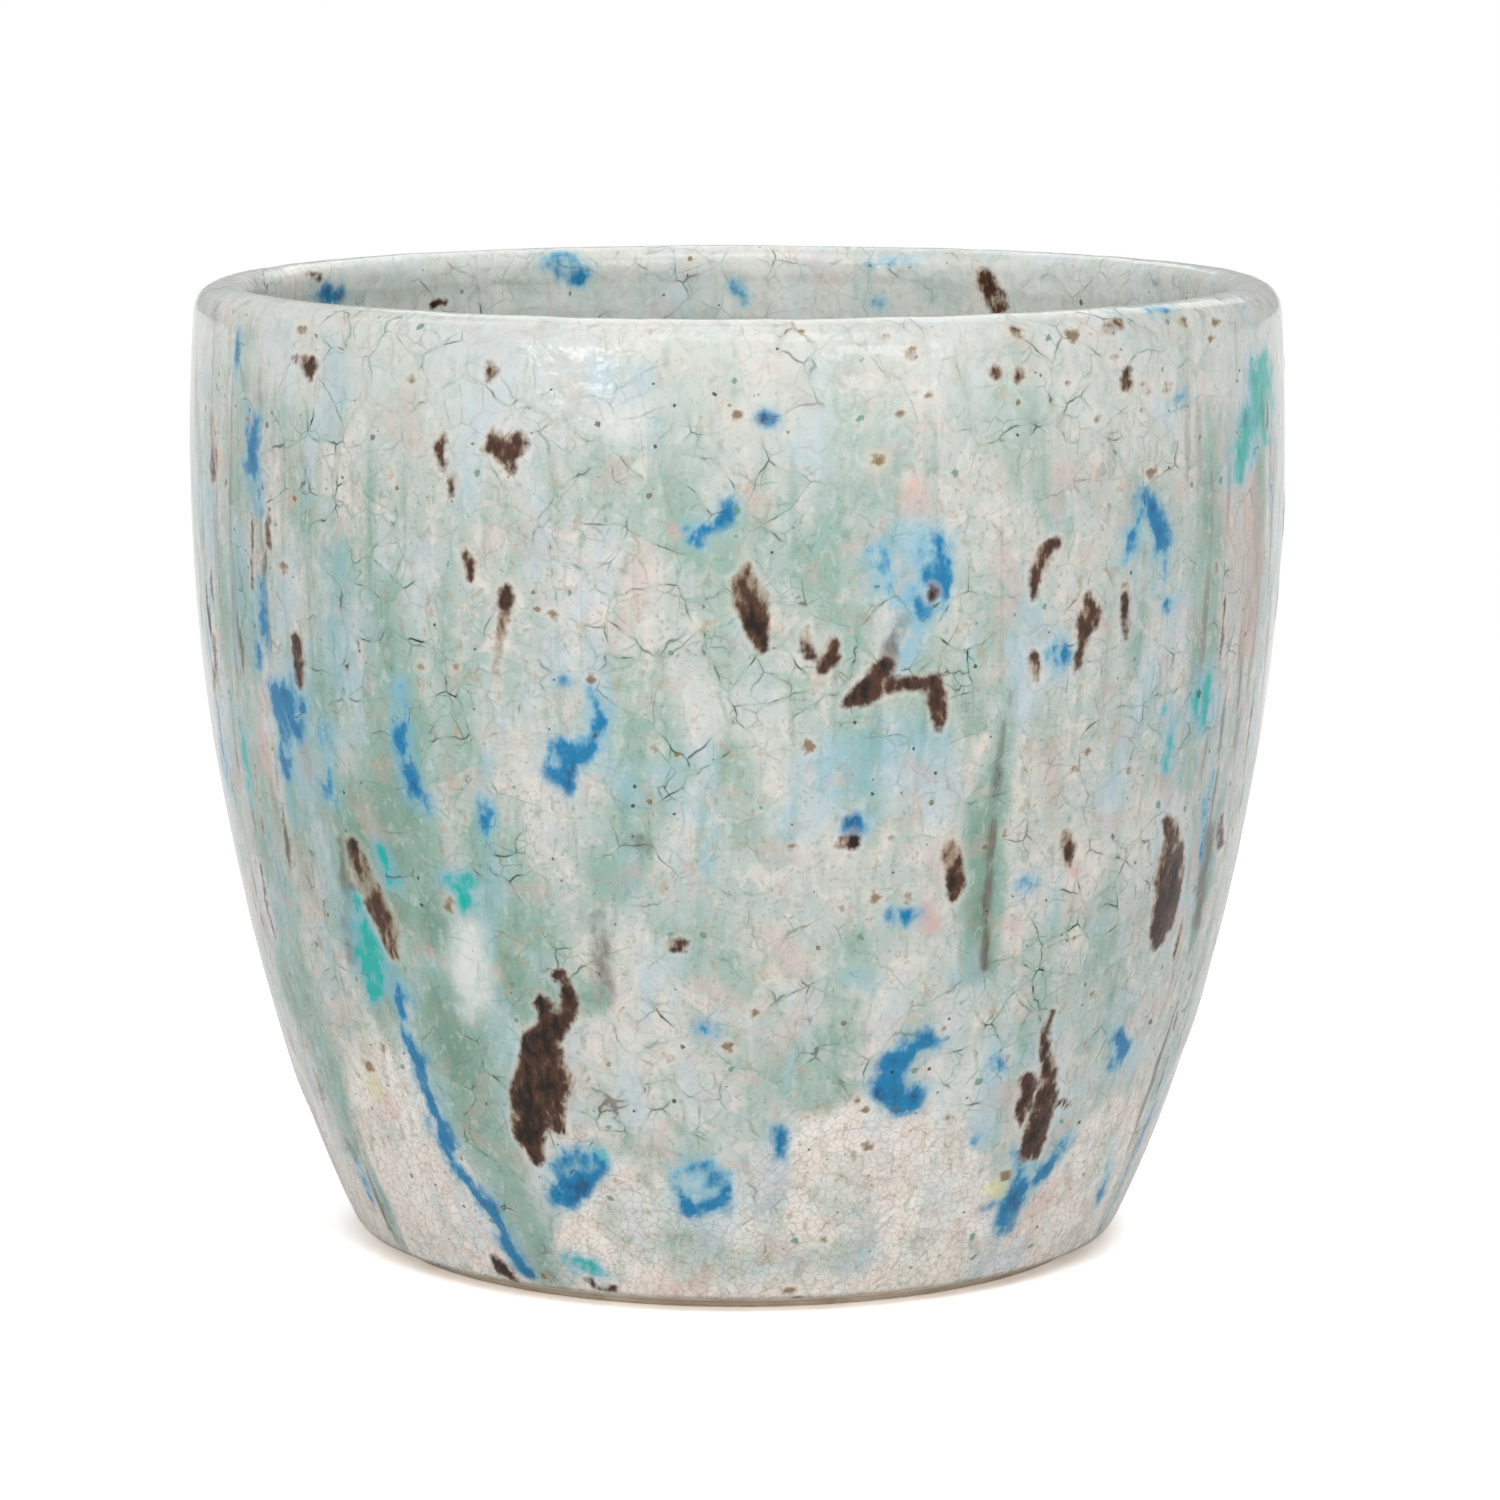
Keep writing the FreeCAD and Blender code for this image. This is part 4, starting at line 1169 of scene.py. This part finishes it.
def make_liner_coat(splashes):
    turns = column_turns(LINER_COLUMNS, EVEN_CROWDING)
    ends = (OUTLINE.inside(LINER_GLAZE_TOP), OUTLINE.walk[-1])
    rows = np.linspace(*ends, LINER_ROWS)
    names = ("liner_coat", "liner_glaze", ["liner_glaze"])
    return make_thin_coat(*names, turns, rows, LINER_UNDER_STEP, 0.0, splashes)


def shade(colour):
    """A colour of 0 to 255 as a shader takes it, from the usual screen curve to plain light."""
    parts = [part / COLOUR_STEPS for part in colour]
    linear = [part / CURVE_SLOPE if part <= CURVE_START
              else ((part + CURVE_SHIFT) / (1 + CURVE_SHIFT)) ** CURVE_POWER for part in parts]
    return (*linear, 1.0)


class Paint:
    """A material's nodes, added as they are wanted. Sizes and places are in millimetres."""

    def __init__(self, name):
        self.material = bpy.data.materials.new(name)
        self.material.use_nodes = True
        self.tree = self.material.node_tree
        self.tree.nodes.clear()
        place_node = self.add("TexCoord")
        self.where = self.turned(place_node.outputs["Object"], METRE)

    def add(self, kind, **settings):
        node = self.tree.nodes.new("ShaderNode" + kind)
        for name, value in settings.items():
            setattr(node, name, value)
        return node

    def feed(self, socket, value):
        if isinstance(value, bpy.types.NodeSocket):
            self.tree.links.new(value, socket)
        else:
            socket.default_value = value

    def turned(self, vector, scale, offset=0.0, stretch=1.0):
        """A place scaled, by its own share along the height, then moved."""
        node = self.add("VectorMath", operation="MULTIPLY_ADD")
        given = (vector, (scale, scale, scale * stretch), (offset, offset, offset))
        for socket, value in zip(node.inputs, given):
            self.feed(socket, value)
        return node.outputs["Vector"]

    def attribute(self, name):
        return self.add("Attribute", attribute_name=name).outputs["Fac"]

    def math(self, operation, first, second=0.0):
        node = self.add("Math", operation=operation)
        self.feed(node.inputs[0], first)
        self.feed(node.inputs[1], second)
        return node.outputs["Value"]

    def plus(self, first, *others):
        for other in others:
            first = self.math("ADD", first, other)
        return first

    def minus(self, first, second):
        return self.math("SUBTRACT", first, second)

    def times(self, first, *others):
        for other in others:
            first = self.math("MULTIPLY", first, other)
        return first

    def most(self, first, second):
        return self.math("MAXIMUM", first, second)

    def step(self, value, low, high, start=0.0, end=1.0):
        """A smooth step from start to end as the value goes from low to high."""
        node = self.add("MapRange", interpolation_type="SMOOTHSTEP")
        for socket, given in zip(node.inputs, (value, low, high, start, end)):
            self.feed(socket, given)
        return node.outputs["Result"]

    def level(self, name, value):
        """The named smooth step of a value."""
        return self.step(value, *LEVELS[name])

    def mix(self, share, first, second):
        """One colour laid over another by a share."""
        node = self.add("Mix", data_type="RGBA")
        self.feed(node.inputs["Factor"], share)
        for socket, colour in ((FIRST_COLOUR, first), (SECOND_COLOUR, second)):
            written = isinstance(colour, tuple)
            self.feed(node.inputs[socket], shade(colour) if written else colour)
        return node.outputs[MIXED_COLOUR]

    def noise(self, name, output="Fac"):
        size, detail, stretch, offset, swirl = NOISES[name]
        node = self.add("TexNoise")
        self.feed(node.inputs["Vector"], self.turned(self.where, 1 / size, offset, stretch))
        self.feed(node.inputs["Scale"], 1.0)
        self.feed(node.inputs["Detail"], detail)
        self.feed(node.inputs["Distortion"], swirl)
        return node.outputs[output]

    def cells(self, size, where, feature="F1", offset=0.0):
        node = self.add("TexVoronoi", feature=feature)
        self.feed(node.inputs["Vector"], self.turned(where, 1 / size, offset))
        self.feed(node.inputs["Scale"], 1.0)
        return node

    def cracks(self, size, where, offset=0.0):
        """How far each place is from the nearest line between cells, in cells."""
        return self.cells(size, where, "DISTANCE_TO_EDGE", offset).outputs["Distance"]

    def warped(self, name, amount):
        """Places pushed about by noise, for cracks that wander."""
        push = self.turned(self.noise(name, "Color"), amount, -amount / 2)
        node = self.add("VectorMath", operation="ADD")
        self.feed(node.inputs[0], self.where)
        self.feed(node.inputs[1], push)
        return node.outputs["Vector"]

    def finish(self, colour, roughness, bump):
        """The surface itself, from its colour, gloss and bump in millimetres."""
        surface = self.add("BsdfPrincipled")
        raised = self.add("Bump")
        self.feed(raised.inputs["Height"], bump)
        self.feed(raised.inputs["Distance"], 1 / METRE)
        self.feed(surface.inputs["Base Color"], colour)
        self.feed(surface.inputs["Roughness"], roughness)
        self.feed(surface.inputs["Normal"], raised.outputs["Normal"])
        self.feed(surface.inputs["Specular IOR Level"], GLOSS)
        output = self.add("OutputMaterial")
        self.feed(output.inputs["Surface"], surface.outputs["BSDF"])
        return self.material


def ground_colour(paint, height, flank, tile):
    """The glaze under its splashes: white to green runs with pink and lilac clouds, and a white
    that is partly painted light, towards the rim, in the sheen and on the far inside wall.
    """
    colour = paint.mix(paint.level("clouds", paint.noise("cloud")), CHALK, PALE)
    mottle = paint.noise("mottle")
    bare = paint.level("beige", paint.plus(paint.attribute("bare"), mottle))
    beige = paint.mix(paint.level("beige pink", mottle), BEIGE, BEIGE_PINK)
    colour = paint.mix(paint.most(bare, paint.level("cream", mottle)), colour, beige)
    run = paint.plus(
        paint.noise("streak"),
        paint.times(paint.attribute("green_wash"), GREEN_WASH_PULL),
        paint.times(paint.minus(tile, MIDDLE), TILE_PULL),
    )
    thinned = paint.level("runs on beige", bare)
    colour = paint.mix(paint.times(paint.level("green runs", run), thinned), colour, GREEN)
    colour = paint.mix(paint.level("deep runs", run), colour, DEEP_GREEN)
    names = dict.fromkeys(layer[0] for layer in GROUND_LAYERS)
    noises = {name: paint.noise(name) for name in names}
    for name, low, high, strength, tint, on_flanks in GROUND_LAYERS:
        amount = paint.step(noises[name], low, high, 0.0, strength)
        amount = paint.times(amount, flank) if on_flanks else amount
        colour = paint.mix(amount, colour, tint)
    washed_pink = paint.times(paint.attribute("pink_wash"), PINK_WASH_PULL)
    blush = paint.most(paint.level("blush", paint.noise("blush")), washed_pink)
    colour = paint.mix(blush, colour, PINK)
    # White glaze and painted light: whiter towards the rim, in the sheen and on the far inside wall
    washed_milk_and_highlight = paint.times(paint.attribute("milk_and_highlight_wash"), MILK_AND_HIGHLIGHT_PULL)
    milk_and_highlight = paint.most(paint.level("milky rim and light from above", height), washed_milk_and_highlight)
    return paint.mix(paint.times(milk_and_highlight, paint.level("curds", mottle)), colour, WHITE)


def washed(paint, colour, soft, vein):
    """Washes of blue, yellow and smoke, broken up by soft noise. The blue is also a painted
    highlight in the sheen.
    """
    # The sky wash is also a painted highlight where the glaze shows its sheen
    for field, wash in (("sky_and_sheen_wash", SKY), ("yellow_wash", YELLOW)):
        amount = paint.times(paint.attribute(field), paint.level("soft wash", soft))
        colour = paint.mix(paint.times(amount, WASH_STRENGTH), colour, wash)
    amount = paint.attribute("smoke_wash")
    torn = paint.level("torn smoke", paint.plus(amount, paint.times(vein, SMOKE_TEARING)))
    return paint.mix(paint.times(amount, torn, SMOKE_STRENGTH), colour, SMOKE_BROWN)


def tinted(paint, colour, torn, vein):
    """The blue and turquoise splashes, that soak into the glaze like watercolour."""
    for family, full, deep in (("teal", TURQUOISE, DEEP_TURQUOISE), ("blue", COBALT, NAVY)):
        inside, tone = torn_field(paint, family, torn, vein, torn)
        tone = paint.plus(tone, paint.level("thin edge", inside))
        body = paint.mix(paint.level("full tint", tone), SKY, full)
        body = paint.mix(paint.level("deep tint", tone), body, deep)
        body = paint.mix(paint.level("pale in tint", torn), body, SKY)
        halo = paint.times(paint.level("halo", inside), paint.level("halo by tone", tone))
        colour = paint.mix(halo, colour, SKY)
        cover = paint.times(paint.level("tint cover", inside), paint.level("tint by tone", tone))
        colour = paint.mix(cover, colour, body)
    return colour


def torn_field(paint, family, torn, vein, grain):
    """How far inside a family's splashes each place lies, and its tone, both roughened."""
    edge_torn, edge_vein, tone_vein, tone_grain = TEARING[family]
    inside = paint.plus(paint.attribute(family), paint.times(torn, edge_torn),
                        paint.times(vein, edge_vein))
    tone = paint.plus(paint.attribute(family + "_tone"), paint.times(vein, tone_vein),
                      paint.times(grain, tone_grain))
    return inside, tone


def splashed(paint, colour, torn, vein):
    """Ochre dots and brown splashes, how much of each place brown covers, and its grain."""
    dot = paint.plus(paint.attribute("ochre"), paint.times(torn, DOT_TEARING))
    colour = paint.mix(paint.level("dot halo", dot), colour, BEIGE_PINK)
    colour = paint.mix(paint.level("dot", dot), colour, OCHRE)
    grain = paint.minus(paint.noise("grain"), MIDDLE)
    inside, tone = torn_field(paint, "brown", torn, vein, grain)
    tone = paint.plus(tone, paint.level("ochre edge", inside))
    body = paint.mix(paint.level("brown", tone), OCHRE, BROWN_GLAZE)
    body = paint.mix(paint.level("black", tone), body, BLACK_BROWN)
    cover = paint.times(paint.level("brown cover", inside), paint.level("brown by tone", tone))
    colour = paint.mix(paint.level("brown halo", inside), colour, BEIGE_PINK)
    return paint.mix(cover, colour, body), cover, grain


def crackled(paint, colour, wander):
    """Soft pale lines where the crackle is closed, and the dark open cracks for later."""
    coarse = paint.cracks(COARSE_CRACKLE, wander)
    second = paint.cracks(SECOND_CRACKLE, wander, SECOND_OFFSET)
    fine = paint.cracks(FINE_CRACKLE, paint.warped("fine wander", FINE_WANDER))
    shown, broken = paint.noise("crackled places"), paint.noise("broken")
    bare = paint.attribute("bare")
    washed_cracks = paint.times(paint.attribute("crack_wash"), CRACK_WASH_PULL)
    strength = paint.plus(paint.level("crackled places", shown), washed_cracks)
    strength = paint.times(strength, paint.level("crackle on beige", bare))
    pale = paint.most(paint.times(paint.level("closed coarse", coarse), strength),
                      paint.times(paint.level("closed second", second), strength))
    pale = paint.times(pale, paint.level("closed where broken", broken))
    pale = paint.most(pale, paint.times(paint.level("closed fine", fine), bare))
    colour = paint.mix(pale, colour, paint.mix(bare, CRACK_PALE, CRACK_BROWN))
    width = paint.level("open width", broken)
    coarse = paint.step(coarse, width, paint.times(width, OPEN_SOFTNESS), 1.0, 0.0)
    opened = paint.most(coarse, paint.level("open second", second))
    opened = paint.times(opened, paint.level("open where broken", broken),
                         paint.times(strength, OPEN_STRENGTH))
    return colour, opened, paint.mix(paint.level("black cracks", shown), CRACK_GREEN, CRACK_BLACK)


def specked(paint, colour, torn):
    """Pinholes, and small dots of iron and copper."""
    torn = paint.times(torn, SPECK_TEARING)
    for size, offset, rare, widest, speck in SPECKS:
        node = paint.cells(size, paint.where, offset=offset)
        tint = paint.add("SeparateColor")
        paint.feed(tint.inputs["Color"], node.outputs["Color"])
        chance = tint.outputs["Red"]
        reach = paint.step(chance, rare, 1.0, 0.0, widest)
        gap = paint.plus(paint.minus(reach, node.outputs["Distance"]), torn)
        shown = paint.math("GREATER_THAN", chance, rare)
        colour = paint.mix(paint.times(paint.level("speck", gap), shown), colour, speck)
    return colour


def glaze_material():
    paint = Paint("crackle_glaze")
    split = paint.add("SeparateXYZ")
    paint.feed(split.inputs["Vector"], paint.where)
    soft = paint.noise("soft")
    torn = paint.minus(paint.noise("ragged"), MIDDLE)
    vein = paint.minus(soft, MIDDLE)
    wander = paint.warped("wander", WANDER)
    tint = paint.add("SeparateColor")
    paint.feed(tint.inputs["Color"], paint.cells(COARSE_CRACKLE, wander).outputs["Color"])
    flank = paint.level("flank", paint.math("ABSOLUTE", split.outputs["X"]))
    colour = ground_colour(paint, split.outputs["Z"], flank, tint.outputs["Red"])
    colour, lines, line_colour = crackled(paint, colour, wander)
    colour = washed(paint, colour, soft, vein)
    colour = tinted(paint, colour, torn, vein)
    colour = paint.mix(lines, colour, line_colour)
    colour = specked(paint, colour, torn)
    colour, brown, grain = splashed(paint, colour, torn, vein)
    curdled = paint.level("curdled", paint.attribute("milk_and_highlight_wash"))
    bump = paint.plus(paint.times(paint.noise("peel"), curdled),
                      paint.times(paint.noise("skin"), SKIN_BUMP))
    bump = paint.minus(bump, paint.times(lines, CRACK_DEPTH))
    bump = paint.plus(bump, paint.times(grain, brown, BROWN_BUMP))
    roughness = paint.plus(GLAZE_ROUGHNESS, paint.times(brown, BROWN_ROUGHER))
    return paint.finish(colour, roughness, bump)


def clay_material():
    paint = Paint("fired_clay")
    colour = paint.mix(paint.level("clay", paint.noise("clay")), FIRED_CLAY, FIRED_CLAY_DARK)
    return paint.finish(colour, CLAY_ROUGHNESS, paint.times(paint.noise("grit"), GRIT_BUMP))


def dress(piece, material):
    """Gives every slot of a piece one material."""
    piece.data.materials.clear()
    piece.data.materials.append(material)


def add_lamp(name, spot, aim, size, watts):
    """A square soft lamp that looks at a point and isn't seen itself; places in millimetres."""
    lamp = bpy.data.lights.new(name, "AREA")
    lamp.shape = "SQUARE"
    lamp.size = size / METRE
    lamp.energy = watts
    holder = bpy.data.objects.new(name, lamp)
    holder.visible_camera = False
    bpy.context.scene.collection.objects.link(holder)
    holder.location = Vector(spot) / METRE
    holder.rotation_euler = (Vector(aim) - Vector(spot)).to_track_quat("-Z", "Y").to_euler()


def make_world():
    """A white room: white to the eye, softer as light and in reflections."""
    world = bpy.data.worlds.new("white_room")
    bpy.context.scene.world = world
    world.use_nodes = True
    tree = world.node_tree
    path = tree.nodes.new("ShaderNodeLightPath")
    background = tree.nodes["Background"]
    soft = tree.nodes.new("ShaderNodeMapRange")
    tree.links.new(path.outputs["Is Camera Ray"], soft.inputs["Value"])
    soft.inputs["To Min"].default_value = ROOM_LIGHT
    soft.inputs["To Max"].default_value = 1.0
    tree.links.new(soft.outputs["Result"], background.inputs["Strength"])
    background.inputs["Color"].default_value = shade(ROOM_WHITE)


def make_floor():
    """A plain white table that keeps the pot's soft shadow and goes over into the white room."""
    bpy.ops.mesh.primitive_plane_add(size=FLOOR_SIZE / METRE)
    floor = bpy.context.object
    floor.name = "floor"
    paint = Paint("white_table")
    seen = paint.add("LightPath").outputs["Is Camera Ray"]
    distance = paint.add("VectorMath", operation="LENGTH")
    paint.feed(distance.inputs[0], paint.where)
    table = paint.add("BsdfDiffuse")
    paint.feed(table.inputs["Color"], paint.step(seen, 0.0, 1.0, FLOOR_BOUNCE, FLOOR_WHITE))
    room = paint.add("Emission")
    paint.feed(room.inputs["Strength"], paint.step(seen, 0.0, 1.0, FLOOR_BOUNCE, 1.0))
    blend = paint.add("MixShader")
    far = paint.step(distance.outputs["Value"], FLOOR_FADE_START, FLOOR_FADE_END)
    paint.feed(blend.inputs["Fac"], far)
    paint.feed(blend.inputs[1], table.outputs["BSDF"])
    paint.feed(blend.inputs[2], room.outputs["Emission"])
    output = paint.add("OutputMaterial")
    paint.feed(output.inputs["Surface"], blend.outputs["Shader"])
    dress(floor, paint.material)


def make_camera():
    camera = bpy.data.cameras.new("photo_camera")
    camera.sensor_width = SENSOR_WIDTH
    camera.lens = FOCAL_PIXELS / PHOTO_SIZE * SENSOR_WIDTH
    holder = bpy.data.objects.new("photo_camera", camera)
    bpy.context.scene.collection.objects.link(holder)
    tilt = Matrix.Rotation(math.radians(90 - CAMERA_PITCH), 4, "X")
    roll = Matrix.Rotation(math.radians(CAMERA_ROLL), 4, "Z")
    holder.matrix_world = Matrix.Translation(Vector(CAMERA_PLACE) / METRE) @ tilt @ roll
    bpy.context.scene.camera = holder
    bpy.context.scene.view_settings.view_transform = "Standard"


def main():
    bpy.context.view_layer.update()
    splashes = gathered_splashes(random.Random(SEED))
    glaze = glaze_material()
    for make in (make_poured_coat, make_base_coat, make_liner_coat):
        dress(make(splashes), glaze)
    dress(bpy.data.objects["clay_body"], clay_material())
    make_world()
    make_floor()
    for name, lamp in LAMPS.items():
        add_lamp(name, *lamp)
    make_camera()


main()
